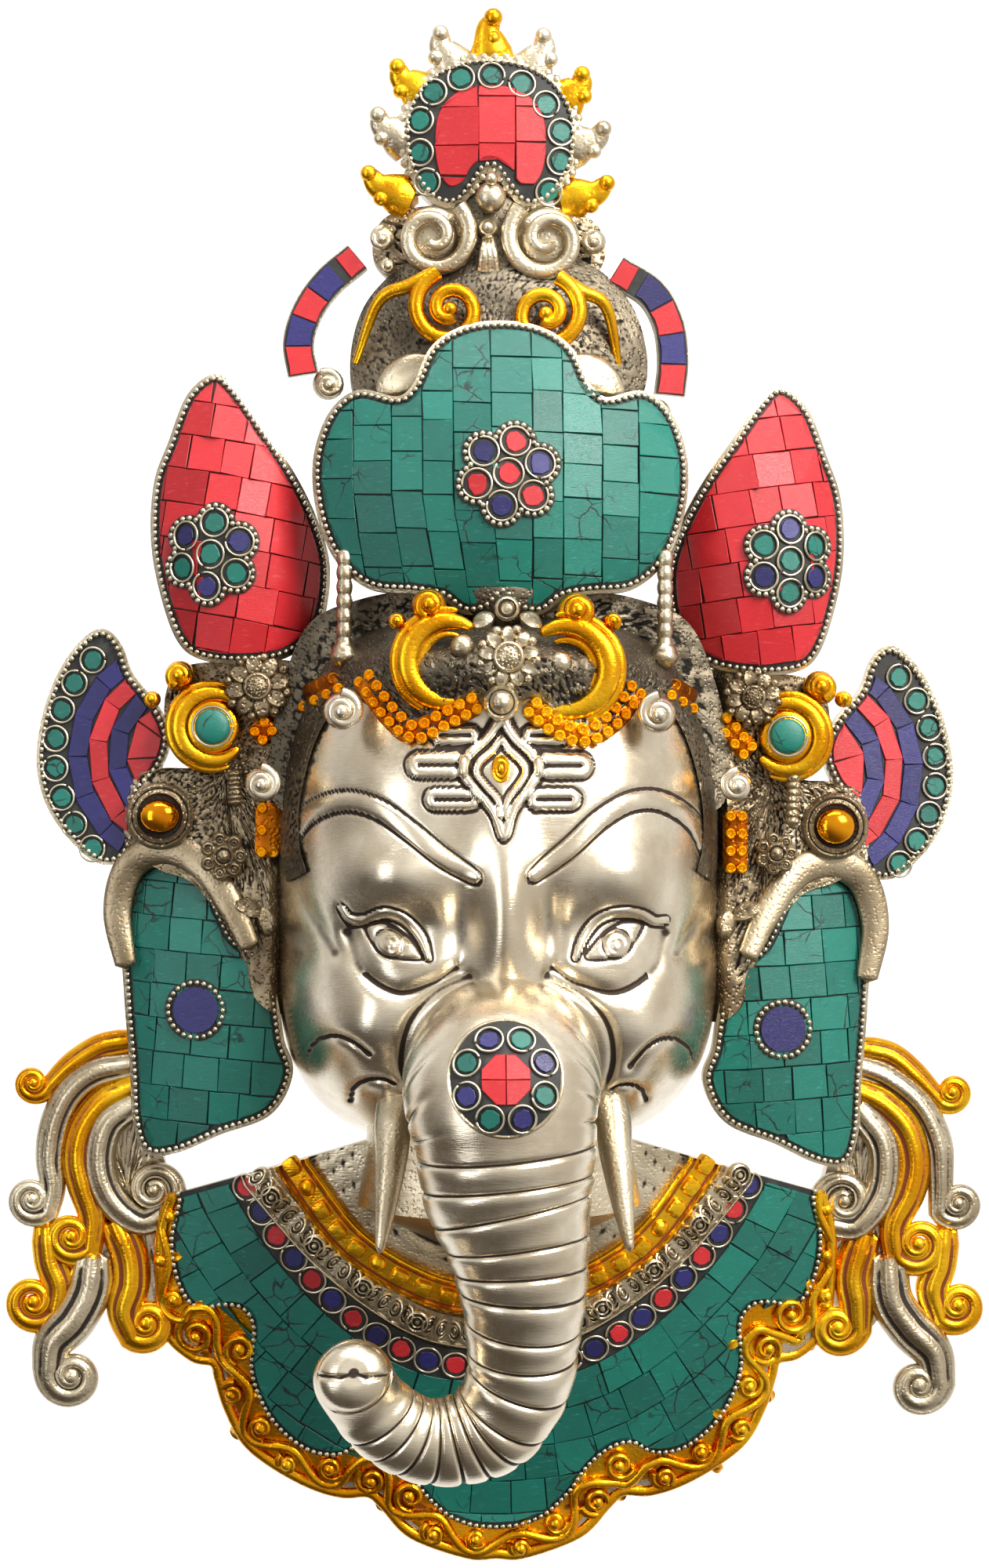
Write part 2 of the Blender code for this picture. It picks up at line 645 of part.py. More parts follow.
def face_solids():
    """Trunk, tusks, brows, lids, folds, the bars and the third eye."""
    made = [sweep(TRUNK, 20, flatten=TRUNK_FLATTEN, count=44)]
    for side in (1, -1):
        made.append(sweep(mirrored(TUSK, side), 8, count=10))
        for path, lift, half, count in ((BROW, 0.5, BROW_HALF, 20), (LID, 0.3, LID_HALF, 16),
                                        (CHEEK_FOLD, 0.2, FOLD_HALF, 12)):
            made.append(sweep(on_face(mirrored(path, side), lift, half), 6, count=count))
        for low, high in BARS:
            bar = [(side * x, (low + high) / 2) for x in BAR_ENDS]
            made.append(sweep(on_face(bar, 0.8, BARS_HALF), 6, count=4))
        (inner_x, inner_z), (outer_x, outer_z) = BROW_CURLS
        inner_depth = float(head_front(inner_x, inner_z)) + 2.0
        made.append(ball(side * inner_x, inner_z, inner_depth, BROW_CURL_RADIUS, 6.0))
        made.append(ball(side * outer_x, outer_z, CROWN_BAND[1][2], BROW_CURL_RADIUS, 6.0))
    made.append(sweep(on_face(THIRD_EYE, 0.8, THIRD_EYE_HALF), 6, count=32, closed=True))
    drop_depth = float(head_front(*THIRD_EYE_DROP))
    made.append(ball(*THIRD_EYE_DROP, drop_depth, DROP_RADIUS, 4.0))
    return made


def collar_solids():
    """The collar's plate, its rolled border, the stud and scale bands, the throat and the arms."""
    made = [collar_band(neck_edge, rim_edge, level(collar_front, SEAT - BED),
                        level(collar_front, SEAT - BED - PLATE - 0.5), 40)]
    rim = spline(COLLAR_RIM[:-1], 60, False)
    half = []
    for x, z in rim:
        inset = BORDER_HALF - 1.0
        half.append((x - inset * x / 120, z + inset + 0.5, float(collar_front(x, z)) - BORDER_HALF / 2,
                     BORDER_HALF))
    made.append(sweep(mirrored(half[:0:-1], -1) + half, 8, flatten=0.9))
    for half_path, lift, radius in ((STUD_BAND, 0.5, STUD_BAND_HALF),
                                    (SCALE_BAND, -0.5, SCALE_BAND_HALF)):
        path = spline(both_side_path(half_path), 40, False)
        made.append(sweep([(x, z, float(collar_front(x, z)) + lift, radius) for x, z in path], 6))
    made.append(sweep(THROAT, 24, flatten=THROAT_FLATTEN))
    for side in (1, -1):
        made.append(sweep(mirrored(COLLAR_ARM, side), 6, count=6))
    return made


def side_solids(side):
    """Rough ground, ear rim, rosettes, cabochon, crescent and hair locks of one side."""
    ground = even_spline(to_side(SIDE_GROUND, side), 36, True)
    made = [dish(ground, to_side([SIDE_MIDDLE], side)[0], side_front,
                 level(side_front, -SIDE_THICK))]
    hair = even_spline(to_side(HAIR_GROUND, side), 28, True)
    made.append(dish(hair, to_side([HAIR_MIDDLE], side)[0], flat_front(HAIR_FRONT),
                     flat_front(HAIR_FRONT - HAIR_THICK)))
    rim = [(*place, EAR_RIM_HALF) for place in to_side(EAR_RIM, side)]
    made.append(sweep(rim, 8, flatten=0.7, count=22))
    for shape in to_side(SIDE_ROUNDS, side):
        made.append(ball(*shape))
    x, z, d = to_side([CRESCENT], side)[0]
    made.append(ball(x, z, d - 4, CRESCENT_STONE + 3.3, 6.0, sides=14))
    made.append(crescent((x, z), side, CRESCENT_REACH, 1.0, -150.0, 265.0, d - 1.0, 1.2, 3.6, 18))
    curl_x, curl_z, curl_radius = to_side([CRESCENT_CURL], side)[0]
    made.append(curl((curl_x, curl_z), curl_radius, 0.0, 1.2, 2.6, d - 4))
    made.append(ball(curl_x, curl_z, d - 7, curl_radius + 1.0, 6.0))
    knob_x, knob_z, knob_radius = to_side([CRESCENT_KNOB], side)[0]
    made.append(ball(knob_x, knob_z, d - 6, knob_radius, 6.0))
    for path, end, radius in LOCKS:
        made += lock_solids(path, end, radius, side)
    return made


def lock_solids(path, end, radius, side):
    """One lock of hair: a tapered strand that runs into a flat curl."""
    last = np.array(path[-1], float)
    middle = np.array(end, float)
    away = last - middle
    travel = last - np.array(path[-2], float)
    start = math.atan2(away[1], away[0])
    way = 1.0 if away[0] * travel[1] - away[1] * travel[0] > 0 else -1.0
    points = [(x, z, LOCK_DEPTH, LOCK_WIDTH) for x, z in spline(path, 10, False)]
    reach_now = float(np.linalg.norm(away))
    for share in np.linspace(0, 1, 14)[1:]:
        reach = reach_now + (radius * 0.75 - reach_now) * min(1.0, share * 3.0)
        reach *= 1.0 - 0.55 * share
        turn = start + way * share * 1.15 * 2 * math.pi
        points.append((middle[0] + reach * math.cos(turn), middle[1] + reach * math.sin(turn),
                       LOCK_DEPTH + 1.5 * share, LOCK_WIDTH * (1.0 - 0.45 * share)))
    knob_x, knob_z = to_side([end], side)[0]
    return [sweep(to_side(points, side), 6), ball(knob_x, knob_z, LOCK_DEPTH, radius, 4.0)]


def crown_solids():
    """What stands over the brow: band, crescents, rods, topknot, coils, scrolls and ribbons."""
    knot = even_spline(both_halves(TOPKNOT), 40, True)
    made = [dish(knot, TOPKNOT_MIDDLE, knot_front, level(knot_front, -TOPKNOT_THICK))]
    made.append(sweep(CROWN_SPINE, 16, flatten=SPINE_FLATTEN, count=6))
    made.append(sweep(CROWN_NECK, 12, flatten=SPINE_FLATTEN, count=6))
    middle = FINIAL_CENTRE[0]
    for side in (1, -1):
        made.append(sweep(mirrored(RODS, side), 6, count=4))
        made.append(sweep(mirrored(CROWN_BAND, side), 6, count=20))
        x, z, d, radius, thick = KNOT_COIL
        made.append(curl((side * x - 0.5, z), radius, math.pi / 2, 1.5, thick, d, -side, 24))
        made.append(sweep(mirrored(KNOT_TAIL, side), 6, count=10))
        x, z, d, radius, thick = SCROLL
        made.append(curl((side * x + middle, z), radius, math.radians(200), 0.9, thick, d, side, 16))
        x, z, d, radius = SCROLL_KNOB
        made.append(ball(side * x + middle, z, d, radius, radius))
        x, z, d, reach = FRONT_CRESCENT
        made.append(crescent((side * x, z), side, reach, 0.0, -105.0, 190.0, d, 2.0, 4.5, 16))
        x, z, d, radius = FRONT_CURL
        made.append(curl((side * x, z), radius, 0.0, 1.2, 2.6, d))
        x, z, d, radius = FRONT_KNOB
        made.append(ball(side * x, z, d, radius, 6.0))
        made.append(sweep([(*place, RIBBON_HALF + 1.0) for place in ribbon_path(side)], 8,
                          flatten=0.8))
        x, z, d, radius = RIBBON_CURL
        made.append(ball(side * x - 1, z, d, radius, 5.0))
    for shape in FRONT_ROUNDS + (BUD_KNOB,):
        made.append(ball(*shape))
    made.append(sweep(FRONT_STEM, 8, count=6))
    made.append(sweep(BUD, 8, flatten=0.6, count=6))
    made.append(sweep(TINE, 6, count=4))
    return made


def ribbon_path(side):
    return spline(mirrored(RIBBON, side, RIBBON_CENTRE), 14, False)


def flame_solids():
    """Tongues round the finial, each curled over at its tip, and the tallest one upright."""
    made = []
    middle = FLAMES // 2
    for step in range(FLAMES):
        turn = math.radians(90.0 + FLAME_STEP * (step - middle))
        way = -1.0 if step > middle else 1.0
        tall = FLAME_TALLEST if step == middle else FLAME_TALL
        out = np.array([math.cos(turn), math.sin(turn)])
        over = np.array([-out[1], out[0]]) * way
        stages = ((-4.0, 0.0, 1.0), (4.0, 0.5, 0.8), (0.62 * tall, 0.0, 0.5),
                  (tall, -3.0, 0.37), (tall - 0.5, -6.0, 0.37))
        path = []
        for number, (far, aside, share) in enumerate(stages):
            flat = np.array(FINIAL_CENTRE) + out * (FINIAL_RADIUS + 1.0 + far) + over * aside
            path.append((*flat, FINIAL_FRONT - 8.0 + 0.6 * number, FLAME_HALF * share))
        made.append(sweep(path, 6, flatten=0.6, count=10))
    return made


def bar_solid():
    half = BAR_HEIGHT / 2
    corners = [(-half, -SUNK), (half, -SUNK), (half, BAR_DEPTH), (-half, BAR_DEPTH)]
    rings = [[(side * BAR_HALF, z, d) for z, d in corners] for side in (-1, 1)]
    return skin(rings)


def wall_cutter(finish):
    """A block behind the wall plane, which cuts the back of the casting flat."""
    wide, tall = CUTTER_HALF_WIDTH, CUTTER_HALF_HEIGHT
    corners = [(-wide, -tall), (wide, -tall), (wide, tall), (-wide, tall)]
    rings = [[(x, z, d) for x, z in corners] for d in (-CUTTER_DEPTH, 0.0)]
    return new_object("wall_cutter", skin(rings), finish)


def guide(item):
    """Mark a cutter, which isn't part of the mask."""
    item.hide_render = True
    item.display_type = "WIRE"
    return item


def cast(solids, finish):
    """Fuse overlapping solids into one skin and thin its faces to the wanted number."""
    rough = new_object("casting_rough", join(solids), finish)
    fuse = rough.modifiers.new("fuse", "REMESH")
    fuse.mode = "VOXEL"
    fuse.voxel_size = GRAIN * MM
    fuse.adaptivity = 0.0
    graph = bpy.context.evaluated_depsgraph_get()
    fused = bpy.data.meshes.new_from_object(rough.evaluated_get(graph))
    bpy.data.objects.remove(rough, do_unlink=True)
    shape = bmesh.new()
    shape.from_mesh(fused)
    bmesh.ops.triangulate(shape, faces=shape.faces)
    shape.to_mesh(fused)
    faces = len(shape.faces)
    shape.free()
    body = bpy.data.objects.new("mask_body", fused)
    bpy.context.scene.collection.objects.link(body)
    thin = body.modifiers.new("thin", "DECIMATE")
    thin.ratio = CASTING_FACES / faces
    graph = bpy.context.evaluated_depsgraph_get()
    lighter = bpy.data.meshes.new_from_object(body.evaluated_get(graph))
    body.modifiers.clear()
    body.data = lighter
    return body


def panel_pieces(turquoise, coral, lapis):
    """Every inlay as its own object, with the plates and recesses that the casting needs."""
    made = {"panels": [], "plates": [], "recesses": []}
    fine = (0.3, 0.55, 0.8, 1.0)
    plain = (0.4, 0.75, 1.0)
    seated("crown_panel_inlay", even_spline(both_halves(CROWN_PANEL), 38, True), CROWN_MIDDLE,
           crown_front, turquoise, made, fine)
    parts = (("crown_leaf", LEAF, 22, LEAF_MIDDLE, leaf_front, coral),
             ("fan", FAN, 20, FAN_MIDDLE, fan_front, lapis),
             ("ear", EAR, 26, EAR_MIDDLE, ear_front, turquoise))
    for side, word in ((-1, "left"), (1, "right")):
        for kind, outline, count, centre, surface, finish in parts:
            ring = even_spline(to_side(outline, side), count, True)
            seated(f"{kind}_{word}_inlay", ring, to_side([centre], side)[0], surface, finish, made,
                   plain)
        x, z, d = to_side([CRESCENT], side)[0]
        stone = np.array((x, z)) + CRESCENT_STONE * circle(14)
        set_in(f"crescent_{word}_stone", stone, (x, z), flat_front(d + 3.5), turquoise, made, (1.0,))
        ribbon_pieces(side, word, coral, made)

    horseshoe = even_spline(both_halves(FINIAL_OUTLINE), 40, True) * FINIAL_RADIUS
    horseshoe = horseshoe + np.array(FINIAL_CENTRE)
    seated("finial_inlay", horseshoe, FINIAL_CENTRE, finial_front, coral, made, (0.5, 1.0))
    made["plates"].append(dish(grown(horseshoe, RIM + 1.4), FINIAL_CENTRE,
                               level(finial_front, -BED - SEAT / 2),
                               level(finial_front, -FINIAL_BACK)))
    medallion = np.array(MEDALLION) + MEDALLION_RADIUS * circle(28)
    set_in("trunk_medallion_inlay", medallion, MEDALLION, medallion_front, lapis, made, (0.5, 1.0))
    field = collar_band(stone_edge, field_edge, collar_front, level(collar_front, -BED), 26)
    made["panels"].append(new_object("collar_inlay", field, turquoise))
    made["recesses"].append(collar_band(stone_edge, field_edge, level(collar_front, CUT_REACH),
                                        level(collar_front, -BED - GAP), 26, grow=GAP))
    return made


def ribbon_pieces(side, word, finish, made):
    """A ribbon's row of tiles, and the recess for it, which is longer by the gap at each end."""
    path = ribbon_path(side)[1:-1]
    tiles = strap(path, RIBBON_HALF, RIBBON_LOW, RIBBON_HIGH)
    made["panels"].append(new_object(f"ribbon_{word}_inlay", tiles, finish))
    longer = path.copy()
    longer[0] += (path[0] - path[1]) * GAP / np.linalg.norm(path[0] - path[1])
    longer[-1] += (path[-1] - path[-2]) * GAP / np.linalg.norm(path[-1] - path[-2])
    made["recesses"].append(strap(longer, RIBBON_HALF + GAP, RIBBON_LOW - GAP, CUT_REACH))


def build():
    clear_scene()
    silver = material("antique_silver", (0.62, 0.58, 0.50), 0.32, 1.0)
    turquoise = material("turquoise", (0.02, 0.24, 0.20), 0.4, 0.0)
    coral = material("coral", (0.55, 0.03, 0.03), 0.4, 0.0)
    lapis = material("lapis", (0.03, 0.02, 0.18), 0.4, 0.0)
    made = panel_pieces(turquoise, coral, lapis)
    casting = [head_solid(), bar_solid()] + face_solids() + collar_solids() + crown_solids()
    casting += flame_solids() + side_solids(1) + side_solids(-1) + made["plates"]
    body = cast(casting, silver)
    cutters = [guide(wall_cutter(silver))]
    for number, solid in enumerate(made["recesses"]):
        cutters.append(guide(new_object(f"recess_cutter_{number}", solid, silver)))
    for cutter in cutters:
        cut = body.modifiers.new(cutter.name, "BOOLEAN")
        cut.operation = "DIFFERENCE"
        cut.solver = "EXACT"
        cut.object = cutter


build()
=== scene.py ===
# %% [markdown]
# # A wall-hung elephant mask in silvered brass, gilt and inlaid stone
#
# The mask is one casting. Silver, gilding and dark patina are only finishes on it. Resin beds sit
# in its recesses, and each bed holds hand-cut chips of turquoise, coral and lapis, wire rings and
# rows of small beads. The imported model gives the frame, and every surface here is worked out with
# numpy and then handed to Blender, in the same metres as the model.

# %% Load the frame
import math

import bpy
import numpy as np
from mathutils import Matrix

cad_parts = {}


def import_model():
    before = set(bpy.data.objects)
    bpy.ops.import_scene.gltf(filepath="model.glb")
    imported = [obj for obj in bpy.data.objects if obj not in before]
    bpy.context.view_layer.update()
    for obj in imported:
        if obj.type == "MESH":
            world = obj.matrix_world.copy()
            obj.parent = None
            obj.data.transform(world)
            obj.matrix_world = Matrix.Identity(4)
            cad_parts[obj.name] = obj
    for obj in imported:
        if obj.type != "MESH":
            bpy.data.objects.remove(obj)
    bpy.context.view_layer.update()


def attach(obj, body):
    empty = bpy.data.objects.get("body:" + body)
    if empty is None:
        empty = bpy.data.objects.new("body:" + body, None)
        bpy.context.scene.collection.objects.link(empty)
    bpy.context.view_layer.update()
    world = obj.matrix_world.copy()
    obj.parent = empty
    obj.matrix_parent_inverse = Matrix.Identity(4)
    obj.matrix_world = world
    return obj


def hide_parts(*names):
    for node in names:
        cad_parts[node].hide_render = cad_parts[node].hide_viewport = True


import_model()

# %% [markdown]
# ## Places
#
# Sizes are in millimetres: x to the right, z up and d off the wall. The photograph was taken from
# close by and a little from the left, so a pixel stands for a different place at each depth. One
# function undoes that, and pieces that are read from the picture go through it.

# %% Places and the camera's view
MM = 0.001
PHOTO_SIZE = (1262, 2000)
PHOTO_MIDDLE = (632.0, 1000.0)
MM_PER_PIXEL = 0.2828
EYE = (-52.0, 0.0, 1400.0)
LEAN = 0.02
rng = np.random.default_rng(7)


def seen(pixels, depth):
    """Millimetres of photo pixels at one or more stand-offs: a straight line from the eye."""
    pixels = np.asarray(pixels, float)
    share = (EYE[2] - depth) / EYE[2]
    flat_x = (pixels[..., 0] - PHOTO_MIDDLE[0]) * MM_PER_PIXEL
    flat_z = (PHOTO_MIDDLE[1] - pixels[..., 1]) * MM_PER_PIXEL
    return np.stack([EYE[0] + (flat_x - EYE[0]) * share, EYE[1] + (flat_z - EYE[1]) * share], -1)


def world(points):
    """Metres in the frame of points given as x, z and d in millimetres."""
    points = np.asarray(points, float)
    return np.stack([points[..., 0], -points[..., 2], points[..., 1]], -1) * MM


camera = bpy.data.objects.new("camera", bpy.data.cameras.new("camera"))
bpy.context.scene.collection.objects.link(camera)
camera.location = world((EYE[0], EYE[1], EYE[2]))
camera.rotation_euler = (math.pi / 2, 0.0, math.atan2(EYE[0], EYE[2]))
camera.data.sensor_fit = "VERTICAL"
camera.data.sensor_height = 24.0
camera.data.lens = 24.0 * math.hypot(EYE[0], EYE[2]) / (PHOTO_SIZE[1] * MM_PER_PIXEL)
bpy.context.scene.camera = camera
print("camera", [round(v, 3) for v in camera.location], "lens", round(camera.data.lens, 1))

# %% [markdown]
# ## Curves and solids from arrays
#
# Nearly every form on the mask is one of three things: a plate over an outline, a tube along a
# path, or a small shape repeated many times. Each is a grid of points, so one function can turn
# any of them into a closed mesh. A side or an end that isn't wrapped round is closed by a point.

# %% Curves
def spline(points, count, closed=False):
    """Evenly spaced points of a Catmull-Rom curve through the given ones."""
    given = np.array(points, float)
    if closed:
        ring = np.vstack([given[-1], given, given[0], given[1]])
        spans = len(given)
    else:
        ring = np.vstack([2 * given[0] - given[1], given, 2 * given[-1] - given[-2]])
        spans = len(given) - 1
    at = np.linspace(0, spans, 40 * len(given) + 1)
    index = np.minimum(at.astype(int), spans - 1)
    t = (at - index)[:, None]
    p0, p1, p2, p3 = (ring[index + step] for step in range(4))
    fine = 0.5 * (2 * p1 + (p2 - p0) * t + (2 * p0 - 5 * p1 + 4 * p2 - p3) * t ** 2
                  + (3 * p1 - p0 - 3 * p2 + p3) * t ** 3)
    along = np.concatenate([[0], np.cumsum(np.linalg.norm(np.diff(fine, axis=0), axis=1))])
    want = np.linspace(0, along[-1], count, endpoint=not closed)
    return np.stack([np.interp(want, along, fine[:, axis]) for axis in range(fine.shape[1])], 1)


def length(path):
    """Length of a path, as the sum of its steps."""
    return float(np.linalg.norm(np.diff(path, axis=0), axis=1).sum())


def grown(outline, by):
    """A closed outline moved outwards along its own normals."""
    ahead, behind = np.roll(outline, -1, axis=0), np.roll(outline, 1, axis=0)
    along = ahead - behind
    along /= np.linalg.norm(along, axis=1)[:, None]
    turning = np.sum(outline[:, 0] * ahead[:, 1] - ahead[:, 0] * outline[:, 1])
    return outline + by * np.sign(turning) * np.stack([along[:, 1], -along[:, 0]], 1)


def both_halves(half):
    """A closed outline from its right half."""
    return list(half) + [(-x, z) for x, z in reversed(half) if x > 0]


def to_side(points, side):
    """Right-hand points at either side, with the lean of the listed pieces."""
    placed = np.array(points, float)
    placed[..., 0] *= side
    placed[..., 1] -= placed[..., 0] * LEAN
    return placed


def circle_turns(sides):
    """Angles of evenly spaced places round a circle."""
    return np.linspace(0, 2 * math.pi, sides, endpoint=False)


def unit(turn):
    """x, z of points at angles on a circle of radius one."""
    return np.column_stack([np.cos(turn), np.sin(turn)])


def beside(line):
    """The direction of a flat line at each of its points, and the direction across it."""
    way = np.gradient(line, axis=0)
    way /= np.linalg.norm(way, axis=1)[:, None]
    return way, np.column_stack([-way[:, 1], way[:, 0]])


def laid(flat, surface, lift=0.0):
    """Flat points of a line or a grid, put on a surface."""
    flat = np.asarray(flat, float)
    return np.concatenate([flat, (surface(flat[..., 0], flat[..., 1]) + lift)[..., None]], -1)


# %% Solids
def solid(grid, loop=False, tips=None):
    """A closed mesh of an n by m grid: rows follow the path, and each row goes round."""
    rows, count = grid.shape[:2]
    index = np.arange(rows * count).reshape(rows, count)
    turned = np.roll(index, -1, axis=1)
    quads = np.stack([index, turned, np.roll(turned, -1, axis=0), np.roll(index, -1, axis=0)], -1)
    quads = (quads if loop else quads[:-1]).reshape(-1, 4)
    points = grid.reshape(-1, 3)
    tris = np.zeros((0, 3), int)
    if not loop:
        if tips is None:
            tips = (grid[0].mean(axis=0), grid[-1].mean(axis=0))
        first = rows * count
        low = np.stack([turned[0], index[0], np.full(count, first)], -1)
        high = np.stack([index[-1], turned[-1], np.full(count, first + 1)], -1)
        tris = np.vstack([low, high])
        points = np.vstack([points, np.array(tips, float)])
    return outward((points, quads, tris))


def triangles(shape):
    """The corners of every triangle, with each quad cut in two."""
    points, quads, tris = shape
    return np.vstack([quads[:, [0, 1, 2]], quads[:, [0, 2, 3]], tris])


def outward(shape):
    """The same closed mesh with its volume counted as positive, so its faces look outwards."""
    points, quads, tris = shape
    where = world(points)
    a, b, c = (where[triangles(shape)[:, corner]] for corner in range(3))
    if np.einsum("ij,ij->i", a, np.cross(b, c)).sum() < 0:
        quads, tris = quads[:, ::-1], tris[:, ::-1]
    return points, quads, tris


def merge(shapes):
    """One mesh of several."""
    starts = np.cumsum([0] + [len(shape[0]) for shape in shapes[:-1]])
    points = np.vstack([shape[0] for shape in shapes])
    quads = np.vstack([shape[1] + start for shape, start in zip(shapes, starts)])
    tris = np.vstack([shape[2] + start for shape, start in zip(shapes, starts)])
    return points, quads, tris


def frames(centre, closed=False):
    """Directions along a path, flat across it, and off the wall, at each of its points."""
    if closed:
        along = np.roll(centre, -1, axis=0) - np.roll(centre, 1, axis=0)
    else:
        along = np.gradient(centre, axis=0)
    along = along / np.linalg.norm(along, axis=1)[:, None]
    across = np.cross(along, (0.0, 0.0, 1.0))
    across /= np.maximum(np.linalg.norm(across, axis=1), 1e-6)[:, None]
    return along, across, np.cross(across, along)


def tube(path, width, height=None, sides=12, closed=False, ribs=0, rib=0.0, tip=0.5):
    """A round or flattened tube. ribs cuts that many grooves of depth rib along its front."""
    path = np.asarray(path, float)
    width = np.broadcast_to(np.asarray(width, float), len(path))
    height = width if height is None else np.broadcast_to(np.asarray(height, float), len(path))
    along, across, out = frames(path, closed)
    turn = circle_turns(sides)
    bite = 1.0 - rib * np.abs(np.cos(turn * ribs)) ** 4 * (np.sin(turn) > 0) if ribs else 1.0
    side_part = np.cos(turn)[None, :, None] * (across * width[:, None])[:, None]
    out_part = (np.sin(turn) * bite)[None, :, None] * (out * height[:, None])[:, None]
    grid = path[:, None] + side_part + out_part
    tips = (path[0] - along[0] * width[0] * tip, path[-1] + along[-1] * width[-1] * tip)
    return solid(grid, loop=closed, tips=tips)


def sparse(count):
    """A few of so many rows, from the last to the first, which are enough for a hidden back."""
    return np.linspace(count - 1, 0, min(count, 5)).round().astype(int)


def dish(outline, centre, front, back, levels):
    """A plate over an outline: rings run out over its front and home over its back."""
    centre = np.array(centre, float)
    shares = np.asarray(levels, float)[:, None, None]
    flat = centre + shares * (outline - centre)[None]
    grid = np.concatenate([laid(flat, front), laid(flat[sparse(len(flat))], back)])
    tips = ((*centre, float(front(*centre))), (*centre, float(back(*centre))))
    return solid(grid, tips=tips)


def strip(first, second, front, back, across=10):
    """A band between two lines of equally many points: out over its front and home behind."""
    share = np.linspace(0, 1, across)[None, :, None]
    flat = np.asarray(first)[:, None] * (1 - share) + np.asarray(second)[:, None] * share
    rows = [laid(flat, front), laid(flat[:, sparse(across)], back)]
    return solid(np.concatenate(rows, axis=1))


def changed(shape, scale=(1.0, 1.0, 1.0), by=(0.0, 0.0, 0.0)):
    """The same shape stretched along its axes and then moved."""
    points, quads, tris = shape
    return points * np.array(scale) + np.array(by), quads, tris


def repeat(shape, places, sizes=1.0, turns=None):
    """Copies of a small shape at each place, scaled, and turned in the plane of the wall."""
    points, quads, tris = shape
    places = np.asarray(places, float)
    count = len(places)
    sizes = np.broadcast_to(np.asarray(sizes, float).reshape(-1, 1, 1), (count, 1, 1))
    moved = np.broadcast_to(points, (count, *points.shape)).copy()
    if turns is not None:
        turns = np.broadcast_to(np.asarray(turns, float), count)[:, None]
        c, s = np.cos(turns), np.sin(turns)
        x, z = moved[..., 0].copy(), moved[..., 1].copy()
        moved[..., 0], moved[..., 1] = x * c - z * s, x * s + z * c
    moved = moved * sizes + places[:, None]
    step = (np.arange(count) * len(points))[:, None, None]
    return (moved.reshape(-1, 3), (quads[None] + step).reshape(-1, 4),
            (tris[None] + step).reshape(-1, 3))


def ball(radius=1.0, depth=1.0, sides=8, rings=4):
    """A ball that may be flattened: rings of points at equal angles from front to back."""
    tilt = np.linspace(0, math.pi, rings + 2)[1:-1]
    turn = circle_turns(sides)
    spread = radius * np.sin(tilt)[:, None]
    height = np.broadcast_to(depth * np.cos(tilt)[:, None], (rings, sides))
    grid = np.stack([spread * np.cos(turn), spread * np.sin(turn), height], -1)
    return solid(grid, tips=((0, 0, depth), (0, 0, -depth)))


def spiral(centre, radius, start, turns, way=1.0, count=60, inner=0.15, rise=1.5, depth=0.0):
    """Points that wind in from a radius to a share of it, rising a little to the middle."""
    share = np.linspace(0, 1, count)
    reach = radius * (1.0 - (1.0 - inner) * share ** 0.9)
    turn = start + way * share * turns * 2 * math.pi
    return np.stack([centre[0] + reach * np.cos(turn), centre[1] + reach * np.sin(turn),
                     depth + rise * share], -1)


print("a bead has", len(ball()[0]), "points")

# %% [markdown]
# ## From arrays to Blender
#
# Patina gathers where a surface is hollow. So each mesh gets a number per point: how far a copy of
# the surface, smoothed a few times, stands above it. A piece may also add painted shade to it, which
# grows towards the wall; the face does. The metals darken by that number.

# %% Pieces
def cavity(shape, steps):
    """Millimetres that the surface, smoothed a number of times, stands above each point."""
    points, quads, tris = shape
    where = world(points) / MM
    faces = triangles(shape)
    a, b, c = (where[faces[:, corner]] for corner in range(3))
    face_normal = np.cross(b - a, c - a)
    normal = np.zeros_like(where)
    for corner in range(3):
        np.add.at(normal, faces[:, corner], face_normal)
    normal /= np.maximum(np.linalg.norm(normal, axis=1), 1e-12)[:, None]
    edges = np.vstack([quads[:, [0, 1]], quads[:, [1, 2]], quads[:, [2, 3]], quads[:, [3, 0]],
                       tris[:, [0, 1]], tris[:, [1, 2]], tris[:, [2, 0]]])
    one, two = edges.T
    count = np.maximum(np.bincount(one, minlength=len(where)), 1)[:, None]
    soft = where
    for _ in range(steps):
        mean = np.stack([np.bincount(one, soft[two, axis], len(where)) for axis in range(3)], 1)
        soft = 0.4 * soft + 0.6 * mean / count
    return np.einsum("ij,ij->i", soft - where, normal)


def piece(name, shapes, finish, slot, nodes=(), tones=None, sharp=45.0, spread=8,
          shade=0.0, shade_to=44.0):
    """A Blender object that rides on the mask and stands for the named nodes."""
    shape = merge(shapes)
    points, quads, tris = shape
    mesh = bpy.data.meshes.new(name)
    mesh.vertices.add(len(points))
    mesh.vertices.foreach_set("co", world(points).ravel())
    loops = np.concatenate([quads.ravel(), tris.ravel()])
    mesh.loops.add(len(loops))
    mesh.loops.foreach_set("vertex_index", loops)
    mesh.polygons.add(len(quads) + len(tris))
    starts = np.concatenate([np.arange(len(quads)) * 4,
                             len(quads) * 4 + np.arange(len(tris)) * 3])
    mesh.polygons.foreach_set("loop_start", starts)
    mesh.update(calc_edges=True)
    mesh.shade_smooth()
    if sharp:
        mesh.set_sharp_from_angle(angle=math.radians(sharp))
    made = mesh.attributes.new("patina", "FLOAT", "POINT")
    # Painted shade: on pieces that ask for it, the number grows towards the wall below a set depth.
    made.data.foreach_set("value", cavity(shape, spread) + shade * (points[:, 2] < shade_to)
                          * (1.0 - points[:, 2] / shade_to))
    if tones is not None:
        values = np.concatenate([np.full(len(each[0]), tone) for each, tone in zip(shapes, tones)])
        mesh.attributes.new("tone", "FLOAT", "POINT").data.foreach_set("value", values)
    mesh.materials.append(finish)
    thing = bpy.data.objects.new(name, mesh)
    bpy.context.scene.collection.objects.link(thing)
    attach(thing, "root")
    if nodes:
        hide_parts(*nodes)
    print(f"{name}: {len(quads) * 2 + len(tris)} triangles")
    return thing


